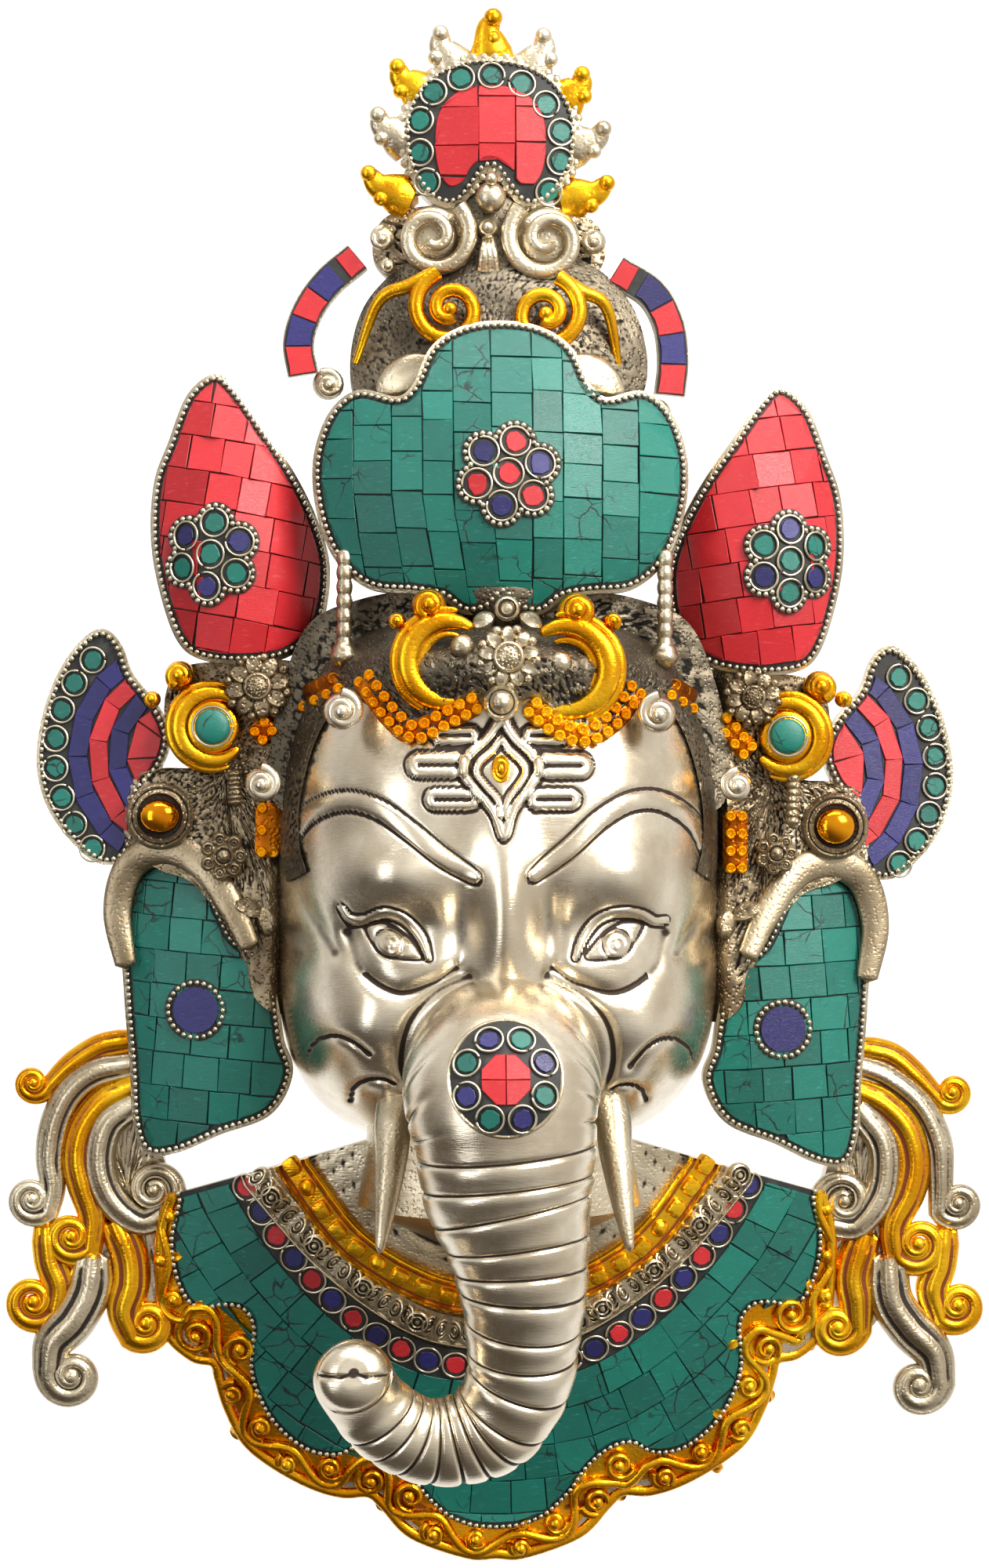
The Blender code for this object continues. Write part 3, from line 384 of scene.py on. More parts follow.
# %% [markdown]
# ## Finishes
#
# A shader graph is easier to read as sums, so a socket is wrapped in a small class and Python's
# operators add the Math nodes. Everything else goes through one method that makes a node, sets
# what it is and then fills in its sockets.

# %% Shader maths
class Wire:
    """A socket that carries a number, which operators extend with Math nodes."""

    def __init__(self, graph, socket):
        self.graph, self.socket = graph, socket

    def math(self, operation, *values, clamp=False):
        settings = {"operation": operation, "use_clamp": clamp}
        return self.graph.node("ShaderNodeMath", settings, dict(enumerate(values)))

    def __add__(self, other):
        return self.math("ADD", self, other)

    def __sub__(self, other):
        return self.math("SUBTRACT", self, other)

    def __rsub__(self, other):
        return self.math("SUBTRACT", other, self)

    def __mul__(self, other):
        return self.math("MULTIPLY", self, other)

    def clamped(self):
        return self.math("ADD", self, 0.0, clamp=True)

    __radd__ = __add__
    __rmul__ = __mul__


class Graph:
    """The node tree of one finish, with its Principled shader."""

    def __init__(self, name):
        self.material = bpy.data.materials.new(name)
        self.material.use_nodes = True
        self.tree = self.material.node_tree
        self.shader = self.tree.nodes["Principled BSDF"]
        self.place = self.node("ShaderNodeTexCoord", {}, {}, "Object")

    def node(self, kind, settings, inputs, output=0):
        """A node with its settings made first, and then the values or links of its sockets."""
        made = self.tree.nodes.new(kind)
        for key, value in settings.items():
            if key == "stops":
                ramp = made.color_ramp
                while len(ramp.elements) < len(value):
                    ramp.elements.new(0.5)
                for element, (at, colour) in zip(ramp.elements, value):
                    element.position, element.color = at, colour
            else:
                setattr(made, key, value)
        for key, value in inputs.items():
            self.fill(made.inputs[key], value)
        return Wire(self, made.outputs[output])

    def fill(self, socket, value):
        if isinstance(value, Wire):
            self.tree.links.new(value.socket, socket)
        else:
            socket.default_value = value

    def noise(self, scale, detail=4.0, place=None, rough=0.55, stretch=None):
        place = place or self.place
        if stretch:
            place = self.node("ShaderNodeMapping", {}, {"Vector": place, "Scale": stretch})
        return self.node("ShaderNodeTexNoise", {}, {"Vector": place, "Scale": scale,
                                                    "Detail": detail, "Roughness": rough})

    def cells(self, scale, feature="F1", place=None):
        inputs = {"Vector": place or self.place, "Scale": scale}
        return self.node("ShaderNodeTexVoronoi", {"feature": feature}, inputs, "Distance")

    def attribute(self, name):
        return self.node("ShaderNodeAttribute", {"attribute_name": name}, {}, "Fac")

    def ramp(self, value, low, high):
        """0 below low, 1 above high and smooth between."""
        settings = {"interpolation_type": "SMOOTHSTEP"}
        return self.node("ShaderNodeMapRange", settings, {0: value, 1: low, 2: high})

    def mix(self, factor, one, two):
        inputs = {0: factor, 6: one, 7: two}
        return self.node("ShaderNodeMix", {"data_type": "RGBA"}, inputs, 2)

    def finish(self, colour, roughness, metallic, height=None, lift=0.0003, strength=1.0):
        self.fill(self.shader.inputs["Base Color"], colour)
        self.fill(self.shader.inputs["Roughness"], roughness)
        self.fill(self.shader.inputs["Metallic"], metallic)
        if height is not None:
            inputs = {"Height": height, "Distance": lift, "Strength": strength}
            bump = self.node("ShaderNodeBump", {}, inputs)
            self.fill(self.shader.inputs["Normal"], bump)
        return self.material


def rgb(red, green, blue):
    """A colour as it looks on screen, 0 to 255, turned into linear light."""
    def linear(value):
        value /= 255.0
        return value / 12.92 if value <= 0.04045 else ((value + 0.055) / 1.055) ** 2.4
    return (linear(red), linear(green), linear(blue), 1.0)


# %% [markdown]
# The silver is brass with a thin plated skin, buffed by hand. It reads as three things: a pale
# warm metal, fine brush marks that run mostly one way, and brown-black patina that was wiped off
# the high places and left in every hollow. Rough ground is the same metal, unpolished and pitted.

# %% Metals
def metal(name, bright, dull, dark, smooth, patina_and_shade_from, patina_and_shade_to, pits=0.0, brush=0.25, blotch=0.5):
    """Plated metal: darkened in the hollows, and by painted shade where a piece adds it; blotches between, and brush
    marks or pits as bump.
    """
    g = Graph(name)
    # This number darkens the hollows, and on the face it also holds painted shade towards the wall.
    hollow = g.attribute("patina")
    cloud = g.noise(38.0, 5.0)
    speck = g.noise(420.0, 3.0)
    pit = g.ramp(g.cells(620.0), 0.12, 0.5)
    patina_and_shade_level = hollow + (cloud - 0.5) * 0.16 * blotch + (speck - 0.5) * 0.14 * blotch
    patina_and_shade_level = patina_and_shade_level + (1.0 - pit) * pits * 0.11
    patina_and_shade_mix = g.ramp(patina_and_shade_level, patina_and_shade_from, patina_and_shade_to)
    clean = g.mix(g.ramp(cloud, 0.35, 0.7), dull, bright)
    colour = g.mix(patina_and_shade_mix, clean, dark)
    marks = g.noise(260.0, 3.0, stretch=(1.0, 1.0, 9.0)) * brush
    rough = (patina_and_shade_mix * 0.35 + smooth + (speck - 0.5) * 0.12 + (cloud - 0.5) * 0.12).clamped()
    return g.finish(colour, rough, 1.0 - patina_and_shade_mix * 0.5, marks + pit * pits + speck * 0.15 * pits)


silver = metal("polished_silver", rgb(240, 230, 210), rgb(208, 194, 170), rgb(46, 33, 24),
               0.27, 0.02, 0.26, 0.0, 0.25, 0.6)
aged_silver = metal("aged_silver", rgb(222, 210, 184), rgb(178, 163, 136), rgb(42, 32, 24),
                    0.34, 0.0, 0.26, 0.25, 0.3, 0.8)
worn_silver = metal("worn_silver", rgb(184, 168, 140), rgb(134, 118, 92), rgb(46, 36, 26),
                    0.4, 0.0, 0.26, 0.3, 0.25, 1.2)
rough_silver = metal("rough_silver", rgb(176, 160, 132), rgb(120, 104, 82), rgb(34, 26, 19),
                     0.45, 0.0, 0.24, 1.0, 0.2, 2.2)
charcoal = metal("charcoal", rgb(134, 124, 106), rgb(84, 76, 64), rgb(26, 22, 18),
                 0.5, -0.02, 0.2, 0.9, 0.2, 2.0)
gilt = metal("gilt", rgb(250, 196, 40), rgb(226, 150, 18), rgb(118, 54, 12),
             0.28, 0.0, 0.2, 0.15, 0.25, 0.8)
bead_gilt = metal("bead_gilt", rgb(255, 206, 52), rgb(244, 176, 30), rgb(150, 76, 14),
                  0.3, 0.4, 1.2, 0.0, 0.2, 1.0)
# A darker copy of the gilt, used as painted shade under and between the garland beads.
painted_shade_gilt = metal("gilt_painted_shade", rgb(206, 120, 24), rgb(150, 74, 14), rgb(70, 34, 12),
               0.4, 0.0, 0.3, 0.6, 0.2, 1.6)
amber = metal("amber_lacquer", rgb(250, 170, 30), rgb(214, 112, 10), rgb(120, 50, 8),
              0.12, 0.3, 0.6, 0.0, 0.0, 1.0)
bead_wire = metal("bead_wire", rgb(216, 208, 186), rgb(180, 170, 146), rgb(52, 44, 34),
                  0.32, 0.06, 0.3, 0.0, 0.0, 0.4)

GOLDS = (gilt, bead_gilt, painted_shade_gilt, amber)


def cast(name, shapes, finish, **options):
    """A piece of the one casting, which stands for the mask body."""
    slot = "gilt" if finish in GOLDS else "antique_silver"
    return piece(name, shapes, finish, slot, ("mask_body",), **options)


# %% [markdown]
# Each chip was sawn from a reconstituted stone block, glued down and rubbed flat with its
# neighbours. So the colour changes a little from chip to chip, the faces carry fine rubbing marks,
# and the turquoise shows thin black veins that were cast into the block.

# %% Stones
def stone(name, deep, middle, pale, vein, veins, smooth=0.36):
    """Rubbed stone: a tone for each chip, clouding, thin veins and fine scratches."""
    g = Graph(name)
    tone = g.attribute("tone")
    cloud = g.noise(90.0, 5.0)
    body = g.mix(g.ramp(tone + (cloud - 0.5) * 0.7, -0.5, 1.5), deep, middle)
    dust = g.ramp(g.noise(300.0, 4.0, stretch=(1.0, 1.0, 3.5)), 0.56, 0.8) * 0.45
    body = g.mix(dust, body, pale)
    bend = g.node("ShaderNodeVectorMath", {"operation": "MULTIPLY_ADD"},
                  {0: g.node("ShaderNodeTexNoise", {}, {"Vector": g.place, "Scale": 120.0,
                                                        "Detail": 4.0}, 1),
                   1: (0.006, 0.006, 0.006), 2: g.place})
    crack = g.cells(95.0, "DISTANCE_TO_EDGE", bend)
    line = 1.0 - g.ramp(crack, 0.008, 0.035)
    where = g.ramp(g.noise(60.0, 2.0), 0.5, 0.62)
    line = line * where * veins
    colour = g.mix(line, body, vein)
    scratch = g.noise(700.0, 2.0, stretch=(1.0, 1.0, 12.0))
    rough = smooth + (scratch - 0.5) * 0.3 + dust * 0.3
    return g.finish(colour, rough.clamped(), 0.0, scratch - line * 0.8, 0.00008)


turquoise = stone("turquoise", rgb(4, 78, 68), rgb(10, 110, 96), rgb(44, 152, 138),
                  rgb(8, 26, 24), 0.95)
coral = stone("coral", rgb(158, 18, 26), rgb(196, 36, 44), rgb(216, 88, 92),
              rgb(80, 10, 12), 0.0)
lapis = stone("lapis", rgb(18, 15, 64), rgb(36, 32, 104), rgb(74, 68, 142),
              rgb(12, 10, 36), 0.15)


def resin_finish():
    """Charcoal resin: almost black, with pale dust rubbed into it."""
    g = Graph("resin")
    cloud = g.noise(160.0, 5.0)
    colour = g.mix(g.ramp(cloud, 0.45, 0.8), rgb(24, 24, 23), rgb(62, 62, 59))
    return g.finish(colour, 0.62 + (cloud - 0.5) * 0.2, 0.0, g.noise(600.0, 3.0), 0.0001)


resin = resin_finish()

# %% [markdown]
# ## The face
#
# The face is a dome over an oval, and every feature is a height added to it. Broad forms are
# rounded bumps. A brow or an eyelid is a band along a drawn line: its height depends on the
# distance to that line, with a chased groove at each side that holds the patina.

# %% Face surface
HEAD_CENTRE = (0.0, -45.0)
HEAD_BASE = 14.0
HEAD_RISE = 88.0
HEAD_SIDE = [(0, 64), (40, 60), (66, 40), (78, 5), (79, -45), (78, -78), (71, -102), (54, -120),
             (26, -130), (0, -133)]
CHEEK = ((51, -85), (18, 19), 9.5)
JAW = ((42, -104), (10, 7), 3.5)
BULGE = ((42, -30), (19, 12), 7.5)
SOCKET = ((36, -50), (16, 9), -7.0)
EYEBALL = ((38, -54), (9, 6.5), 5.5)
NOTCH = ((70, -54), (8, 8), -5.5)
BRIDGE = ((0, -44), (9.5, 30), 9.0)
BRIDGE_HOLLOW = ((14.5, -48), (5.5, 13), -5.0)
FOREHEAD = ((30, 0), (24, 14), 2.5)
BROW_BAND = ((0, 44), (62, 15), 24.0)
SWELLINGS = (CHEEK, JAW, BULGE, SOCKET, EYEBALL, NOTCH, BRIDGE, BRIDGE_HOLLOW, FOREHEAD, BROW_BAND)
WALL = 4.5
head_ring = spline(both_halves(HEAD_SIDE), 430, True)
head_arms = head_ring - np.array(HEAD_CENTRE)
head_angle = np.arctan2(head_arms[:, 1], head_arms[:, 0])
head_order = np.argsort(head_angle)
head_reach = np.linalg.norm(head_arms, axis=1)


def swell(x, z, at, size, height):
    """A rounded bump or hollow, the same at both sides."""
    near = ((np.abs(x) - at[0]) / size[0]) ** 2 + ((z - at[1]) / size[1]) ** 2
    return height * np.exp(-near)


def head_front(x, z):
    """Stand-off of the face without its fine features."""
    x, z = np.asarray(x, float), np.asarray(z, float)
    across, up = x - HEAD_CENTRE[0], z - HEAD_CENTRE[1]
    limit = np.interp(np.arctan2(up, across), head_angle[head_order], head_reach[head_order],
                      period=2 * math.pi)
    share = np.clip(np.hypot(across, up) / limit, 0.0, 1.0)
    dome = HEAD_BASE + HEAD_RISE * np.sqrt(1.0 - share ** 2.8)
    for at, size, height in SWELLINGS:
        dome = dome + swell(x, z, at, size, height)
    return dome


def drawn(pixels, count=90, closed=False, depth=98.0):
    """A line read from the photograph and laid on the face, as x, z points."""
    flat = seen(pixels, depth)
    for _ in range(3):
        flat = seen(pixels, head_front(flat[:, 0], flat[:, 1]))
    return spline(flat, count, closed)


def apart(x, z, path):
    """Distance from each point to a line, and how far along the line its nearest point is."""
    best = np.full(x.shape, 1e9)
    share = np.zeros(x.shape)
    for step, (near_x, near_z) in enumerate(path):
        away = np.hypot(x - near_x, z - near_z)
        closer = away < best
        best = np.where(closer, away, best)
        share = np.where(closer, step / (len(path) - 1), share)
    return best, share


def band(away, half, height, groove=0.6, width=0.55):
    """A rounded band of a half width, with a chased groove along each edge."""
    body = height * np.clip(1.0 - (away / half) ** 2, 0.0, 1.0) ** 0.4
    return body - groove * np.exp(-((away - half - 0.3) / width) ** 2)


def scored(away, depth, width=0.6):
    """A single chased line."""
    return -depth * np.exp(-(away / width) ** 2)


# %% [markdown]
# The lines below are read from the photograph in pixels. The left and right sides were chased by
# hand and differ a little, so both are given.

# %% Face lines
BROWS = ([(369, 1088), (378, 1060), (402, 1034), (442, 1022), (483, 1032), (524, 1060), (565, 1093),
          (606, 1119)],
         [(683, 1117), (728, 1081), (769, 1044), (810, 1022), (850, 1024), (889, 1052), (908, 1102)])
LIDS = ([(436, 1157), (448, 1172), (466, 1174), (490, 1165), (515, 1172), (537, 1194), (548, 1222)],
        [(735, 1222), (746, 1196), (764, 1174), (792, 1164), (819, 1167), (838, 1176), (852, 1174)])
EYES = ([(467, 1180), (484, 1176), (504, 1182), (524, 1198), (540, 1222), (520, 1224), (498, 1220),
         (478, 1206)],
        [(748, 1222), (762, 1200), (780, 1184), (800, 1176), (821, 1180), (810, 1204),
         (792, 1220), (770, 1225)])
IRISES = ((498, 1203), (789, 1205))
BAGS = ([(446, 1190), (464, 1238), (508, 1266), (551, 1256), (583, 1236)],
        [(850, 1192), (836, 1236), (790, 1266), (740, 1256), (706, 1236)])
TEMPLES = ([(376, 1100), (386, 1145), (411, 1185), (428, 1214)],
           [(912, 1108), (908, 1145), (886, 1185), (866, 1216)])
FOLDS = ([(393, 1362), (395, 1342), (408, 1326), (430, 1321), (452, 1329), (472, 1344)],
         [(888, 1362), (882, 1340), (866, 1327), (846, 1326), (826, 1338), (806, 1360)],
         [(449, 1404), (453, 1388), (468, 1378), (488, 1376), (504, 1382)],
         [(826, 1404), (820, 1390), (804, 1384), (786, 1388), (774, 1402)])
THIRD_EYE = [(641, 918), (655, 938), (680, 962), (688, 982), (676, 1006), (655, 1034), (644, 1066),
             (632, 1036), (608, 1008), (592, 984), (600, 962), (624, 940)]
LENS_INNER = 0.66
PAD_SCALE = 0.25
HOOPS = ((601, 938, -1, 48, 13), (585, 976, -1, 62, 18), (600, 1020, -1, 55, 15),
         (679, 938, 1, 46, 13), (699, 977, 1, 53, 18), (687, 1020, 1, 52, 15))
ROOT_LINES = ([(522, 1396), (513, 1352), (524, 1304), (556, 1268), (600, 1246)],
              [(772, 1396), (784, 1352), (776, 1306), (744, 1270), (700, 1246)])


def face_relief(x, z):
    """The chased features: bands, lines, eyes and the raised lens on the forehead."""
    high = np.zeros_like(x)
    for line in BROWS:
        away, share = apart(x, z, drawn(line))
        high += band(away, 3.2 - 1.0 * np.abs(2 * share - 1) ** 6, 1.5, 0.7, 0.7)
    for line in LIDS:
        away, share = apart(x, z, drawn(line))
        high += band(away, 1.8 - 0.8 * np.abs(2 * share - 1) ** 4, 1.2, 0.7, 0.65)
    for outline, iris in zip(EYES, IRISES):
        away, _ = apart(x, z, drawn(outline, 120, True))
        high += scored(away, 1.1, 0.75)
        centre = drawn([iris, iris, iris], 3)[1]
        ring = np.hypot(x - centre[0], z - centre[1])
        high += 1.2 * np.clip(1.0 - (ring / 5.4) ** 2, 0.0, 1.0)
        for radius in (4.9, 2.4):
            high += scored(ring - radius, 0.7, 0.65)
    for line in BAGS:
        away, share = apart(x, z, drawn(line))
        high += scored(away, 2.2, 3.2) + scored(away, 0.9, 0.9) * (share > 0.3)
    for line in TEMPLES:
        away, _ = apart(x, z, drawn(line))
        high += scored(away, 2.0, 3.0)
    for line in FOLDS:
        away, _ = apart(x, z, drawn(line))
        high += scored(away, 1.6, 1.8) + scored(away, 1.3, 0.6)
    for line in ROOT_LINES:
        away, _ = apart(x, z, drawn(line))
        high += scored(away, 1.8, 1.8)
    lens = drawn(THIRD_EYE, 160, True)
    away, _ = apart(x, z, lens)
    high += band(away, 1.8, 1.6, 0.5, 0.7)
    middle = lens.mean(axis=0)
    away, _ = apart(x, z, middle + LENS_INNER * (lens - middle))
    high += band(away, 1.3, 1.4, 0.5, 0.7)
    for px, py, side, reach, half in HOOPS:
        slit = drawn([(px, py), (px + side * reach * 0.4, py), (px + side * reach * 0.8, py)], 50)
        away, _ = apart(x, z, slit)
        high += band(away, half * PAD_SCALE, 1.6, 0.5, 0.7) + scored(away, 1.8, 0.8)
    return high


# %% Face
def build_face():
    """Rings from the middle of the face to its rim, back to the wall and home inside."""
    shares = np.concatenate([np.linspace(0.008, 0.9, 104), np.linspace(0.91, 1.0, 14)])
    centre = np.array(HEAD_CENTRE)
    flat = centre + shares[:, None, None] * head_arms[None]
    stand = head_front(flat[..., 0], flat[..., 1])
    fade = np.clip((1.0 - shares) / 0.1, 0.0, 1.0)[:, None]
    front = np.dstack([flat, stand + face_relief(flat[..., 0], flat[..., 1]) * fade])
    sides = [np.column_stack([head_ring, np.full(len(head_ring), d)]) for d in (7.0, 0.2)]
    narrow = grown(head_ring, -WALL)
    lip = np.column_stack([narrow, np.full(len(narrow), 0.2)])
    inner = []
    for share in (0.95, 0.85, 0.7, 0.5, 0.3, 0.15):
        spot = centre + share * (narrow - centre)
        deep = np.maximum(head_front(spot[:, 0], spot[:, 1]) - 2 * WALL, HEAD_BASE)
        inner.append(np.column_stack([spot, deep]))
    grid = np.concatenate([front, np.array(sides), lip[None], np.array(inner)])
    middle = float(head_front(*HEAD_CENTRE))
    shape = solid(grid, tips=((*HEAD_CENTRE, middle), (*HEAD_CENTRE, middle - 2 * WALL)))
    # The face gets painted shade that darkens it towards the wall.
    return cast("face", [shape], silver, sharp=None, shade=0.5)


build_face()

# %% [markdown]
# ## The trunk
#
# The trunk is a tube whose middle line, width and depth are read at a few places and joined by a
# smooth curve. Its creases are grooves at drawn stations. They are deeper at the front and fan out
# round the bend, where the inner side is shorter. The tip is a blunt knob with a slit.

# %% Trunk
TRUNK = [(0, -92, 70, 30), (0, -93, 92, 31.5), (-1, -95, 108, 32.5), (-2, -99, 118, 33),
         (-2, -107, 124.5, 32), (-1, -117, 126, 30), (0, -134, 125, 28), (3, -150, 124, 24),
         (5, -167, 122, 21), (5, -182, 118, 19), (4, -197, 114, 17.5), (-4, -212, 110, 16.5),
         (-16, -218, 109, 15), (-28, -218, 110, 14), (-39, -212, 113, 13.5),
         (-47, -203, 118, 13), (-51, -195, 126, 13.4), (-51, -193, 133, 12)]
CREASE_HEIGHTS = (-121, -130.5, -140, -151, -160, -167, -178, -188.5, -198.5)
BEND_CREASES = np.linspace(0.69, 0.88, 8)
SIDE_CREASES = (0.2, 0.225, 0.25, 0.275)


def turned_frames(centre):
    """Directions across and out at each point, carried along the path without twisting."""
    along = np.gradient(centre, axis=0)
    along /= np.linalg.norm(along, axis=1)[:, None]
    across = np.cross(along[0], (0.0, 0.0, 1.0))
    sideways, outwards = [], []
    for way in along:
        across = across - way * np.dot(across, way)
        across = across / np.linalg.norm(across)
        sideways.append(across)
        outwards.append(np.cross(across, way))
    return along, np.array(sideways), np.array(outwards)


def build_trunk():
    """Rings round the middle line, with each crease pressed in and each fold left full."""
    path = spline(TRUNK, 460)
    along, across, out = turned_frames(path[:, :3])
    turn = circle_turns(96)
    share = np.linspace(0, 1, len(path))[:, None]
    radius = np.repeat(path[:, 3][:, None], len(turn), axis=1)
    frontal = np.clip(np.sin(turn), -0.3, 1.0)[None] * 0.35 + 0.75
    stations = [np.argmax(path[:, 1] <= height) / len(path) for height in CREASE_HEIGHTS]
    for number, at in enumerate([*stations, *BEND_CREASES]):
        slant = 0.006 * np.cos(turn + 0.6 * number)[None]
        near = (share - at - slant) / 0.0028
        fold = (share - at - slant - 0.013) / 0.012
        radius = radius - 1.2 * np.exp(-near ** 2) * frontal
        radius = radius + 0.6 * np.exp(-fold ** 2) * frontal
    beside = np.abs(np.cos(turn))[None] ** 4
    for at in SIDE_CREASES:
        near = (share - at - 0.02 * (np.abs(np.cos(turn))[None] - 0.9)) / 0.0028
        radius = radius - 1.2 * np.exp(-near ** 2) * beside
    grid = (path[:, None, :3] + np.cos(turn)[None, :, None] * across[:, None] * radius[..., None]
            + 0.92 * np.sin(turn)[None, :, None] * out[:, None] * radius[..., None])
    cap = []
    for lift in np.linspace(0.12, 1.0, 14)[:-1]:
        shrink = math.sqrt(max(1.0 - lift ** 2, 0.0))
        middle = path[-1, :3] + along[-1] * path[-1, 3] * 0.62 * lift
        cap.append(middle + (grid[-1] - path[-1, :3]) * shrink)
    grid = np.concatenate([grid, np.array(cap)])
    tip = path[-1, :3] + along[-1] * path[-1, 3] * 0.62
    slit = np.abs(grid[-14:, :, 1] - (path[-1, 1] + 0.5))
    grid[-14:, :, 2] -= 1.8 * np.exp(-(slit / 0.8) ** 2)
    shape = solid(grid, tips=(path[0, :3], tip - np.array((0, 0, 1.8))))
    return piece("trunk", [shape], silver, "antique_silver", sharp=None)


build_trunk()

TUSK = [(32, -96, 66, 7.0), (37, -112, 78, 6.5), (38, -126, 86, 5.5), (40, -142, 91, 3.8),
        (42, -156, 95, 1.6)]


def build_tusks():
    """Each tusk is a tapered tube that starts inside the cheek and ends in a point."""
    shapes = []
    for side in (-1, 1):
        path = spline([(side * x, z, d, r) for x, z, d, r in TUSK], 60)
        shapes.append(tube(path[:, :3], path[:, 3], sides=28, tip=1.2))
    return piece("tusks", shapes, aged_silver, "antique_silver", sharp=None)


build_tusks()

# %% [markdown]
# ## Inlaid panels
#
# Every panel is laid up in the same order: a metal plate with a rim, a bed of dark resin, chips
# set side by side, and a row of beads that hides the ragged outer edge. The chips are cut from the
# panel's own outline: a grid of quads is laid over it, and each quad keeps what it has in common
# with the outline. Every chip is flat, so a domed panel breaks into facets, as the real one does.

# %% Panel outlines and surfaces
CROWN_PANEL = [(0, 158), (13, 156), (23, 149), (29, 136), (36, 131), (49, 134), (58, 127),
               (63, 112), (62, 95), (56, 79), (45, 69), (30, 67), (20, 65), (13, 60), (6, 61),
               (0, 66)]
LEAF = [(100, 140), (108, 133), (114, 117), (119, 103), (120, 84), (117, 66), (111, 49),
        (103, 43), (88, 42), (74, 45), (64, 55), (61, 74), (65, 90), (73, 106), (84, 122),
        (94, 136)]
FAN = [(139, 50), (134, 45), (130, 35), (121, 24), (117, 14), (120, 4), (128, -6), (128, -16),
       (132, -27), (140, -29), (150, -21), (158, -9), (161, 6), (158, 24), (152, 38), (145, 47)]
EAR = [(115, -29), (105, -34), (99, -46), (93, -57), (83, -64), (79, -79), (77, -92), (74, -103),
       (81, -116), (98, -123), (113, -130), (123, -131), (127, -121), (128, -102), (130, -78),
       (131, -54), (127, -36)]
COLLAR_CENTRE = (0.0, -110.0)
COLLAR_END = 17.0
COLLAR_FRONT = 16.0
COLLAR_SLOPE = 0.34
COLLAR_RIM = [(0, -277), (10, -277), (30, -270), (40, -260), (46, -255), (56, -255), (68, -251),
              (82, -243), (91, -235), (97, -223), (100, -213), (102, -207), (110, -205),
              (119, -196), (121, -180), (121, -160), (117, -146)]
COLLAR_FIELD = [(0, -265), (9, -264), (18, -260), (26, -252), (32, -243), (40, -236), (48, -234),
                (56, -238), (66, -237), (76, -230), (83, -220), (87, -207), (86, -192), (90, -185),
                (98, -184), (104, -186), (110, -182), (114, -172), (115, -160), (112, -147)]
STONE_ROW = [(0, -206), (27, -202), (52, -187), (74, -164), (89, -141)]
STONE_ROW_HALF = 5.8
STUD_BAND = [(0, -182), (26, -176), (52, -160), (72, -134)]
SCALE_BAND = [(0, -194), (28, -188), (58, -167), (84, -139)]


def crown_front(x, z):
    """Domed across, and leaning back at the top and the bottom."""
    return 84.0 - 22.0 * (x / 62.0) ** 2 - 14.0 * ((z - 98.0) / 50.0) ** 2


def leaf_front(x, z):
    """Bulging in the middle, with the outer edge falling to the wall."""
    over = np.abs(x) - 92.0
    return 56.0 - 18.0 * (over / 30.0) ** 2 - 12.0 * ((z - 80.0) / 50.0) ** 2


def fan_front(x, z):
    """Flat, and falling outwards."""
    return 33.0 - 0.2 * (np.abs(x) - 120.0) + 0.0 * z


def ear_front(x, z):
    """Standing away from the face and falling outwards."""
    over = np.abs(x) - 98.0
    return 41.0 - 8.0 * (over / 30.0) ** 2 - 0.16 * over - 4.0 * ((z + 80.0) / 50.0) ** 2


def collar_front(x, z):
    """Rising from the rim of the collar towards the neck."""
    reach = np.hypot(x - COLLAR_CENTRE[0], z - COLLAR_CENTRE[1])
    return COLLAR_FRONT + COLLAR_SLOPE * np.clip(150.0 - reach, 0.0, 100.0)


def level(surface, by):
    """The same surface moved off the wall."""
    return lambda x, z: surface(x, z) + by


# %% Chips, beads and cells
BEAD = 1.12
BEAD_PITCH = 2.42
CHIP_BEVEL = 0.22
SMALLEST_CHIP = 5.0


def area(polygon):
    ahead = np.roll(polygon, -1, axis=0)
    return 0.5 * abs(np.sum(polygon[:, 0] * ahead[:, 1] - ahead[:, 0] * polygon[:, 1]))


def clip(polygon, quad):
    """What a polygon shares with a convex quad: each side of the quad cuts off what is outside."""
    ahead = np.roll(quad, -1, axis=0)
    if np.sum(quad[:, 0] * ahead[:, 1] - ahead[:, 0] * quad[:, 1]) < 0:
        quad = quad[::-1]
    for start, end in zip(quad, np.roll(quad, -1, axis=0)):
        if len(polygon) < 3:
            return polygon
        way, away = end - start, polygon - start
        side = way[0] * away[:, 1] - way[1] * away[:, 0]
        after = np.roll(side, -1)
        share = side / np.where(side == after, 1.0, side - after)
        crossing = polygon + share[:, None] * (np.roll(polygon, -1, axis=0) - polygon)
        inside = side >= 0
        keep = np.stack([inside, inside != (after >= 0)], 1)
        polygon = np.stack([polygon, crossing], 1)[keep]
    return polygon


def slopes(surface, x, z):
    """How fast a surface rises to the right and upwards."""
    return ((surface(x + 1.0, z) - surface(x - 1.0, z)) / 2.0,
            (surface(x, z + 1.0) - surface(x, z - 1.0)) / 2.0)


def chip(polygon, surface, lift=0.0, thick=2.0):
    """A flat chip on the plane that touches the surface at its middle, with a bevelled top."""
    middle = polygon.mean(axis=0)
    tilt = np.array(slopes(surface, *middle)) + rng.normal(0, 0.012, 2)
    base = surface(*middle) + lift

    def on(ring, drop):
        return np.column_stack([ring, base + (ring - middle) @ tilt - drop])

    rings = np.array([on(polygon, thick), on(polygon, CHIP_BEVEL),
                      on(grown(polygon, -CHIP_BEVEL), 0.0)])
    return solid(rings, tips=(on(middle[None], thick)[0], on(middle[None], 0.0)[0]))


def courses(lines, low, high, pitch, warp):
    """Quads in strips between the given lines. Each strip is cut across at its own places."""
    quads = []
    for near, far in zip(lines[:-1], lines[1:]):
        cuts = low + pitch * (np.arange(int((high - low) / pitch) + 3) - rng.random())
        cuts = cuts + rng.normal(0, 0.07 * pitch, len(cuts))
        for start, end in zip(cuts[:-1], cuts[1:]):
            quads.append(warp(np.array([(near, start), (far, start), (far, end), (near, end)])))
    return quads


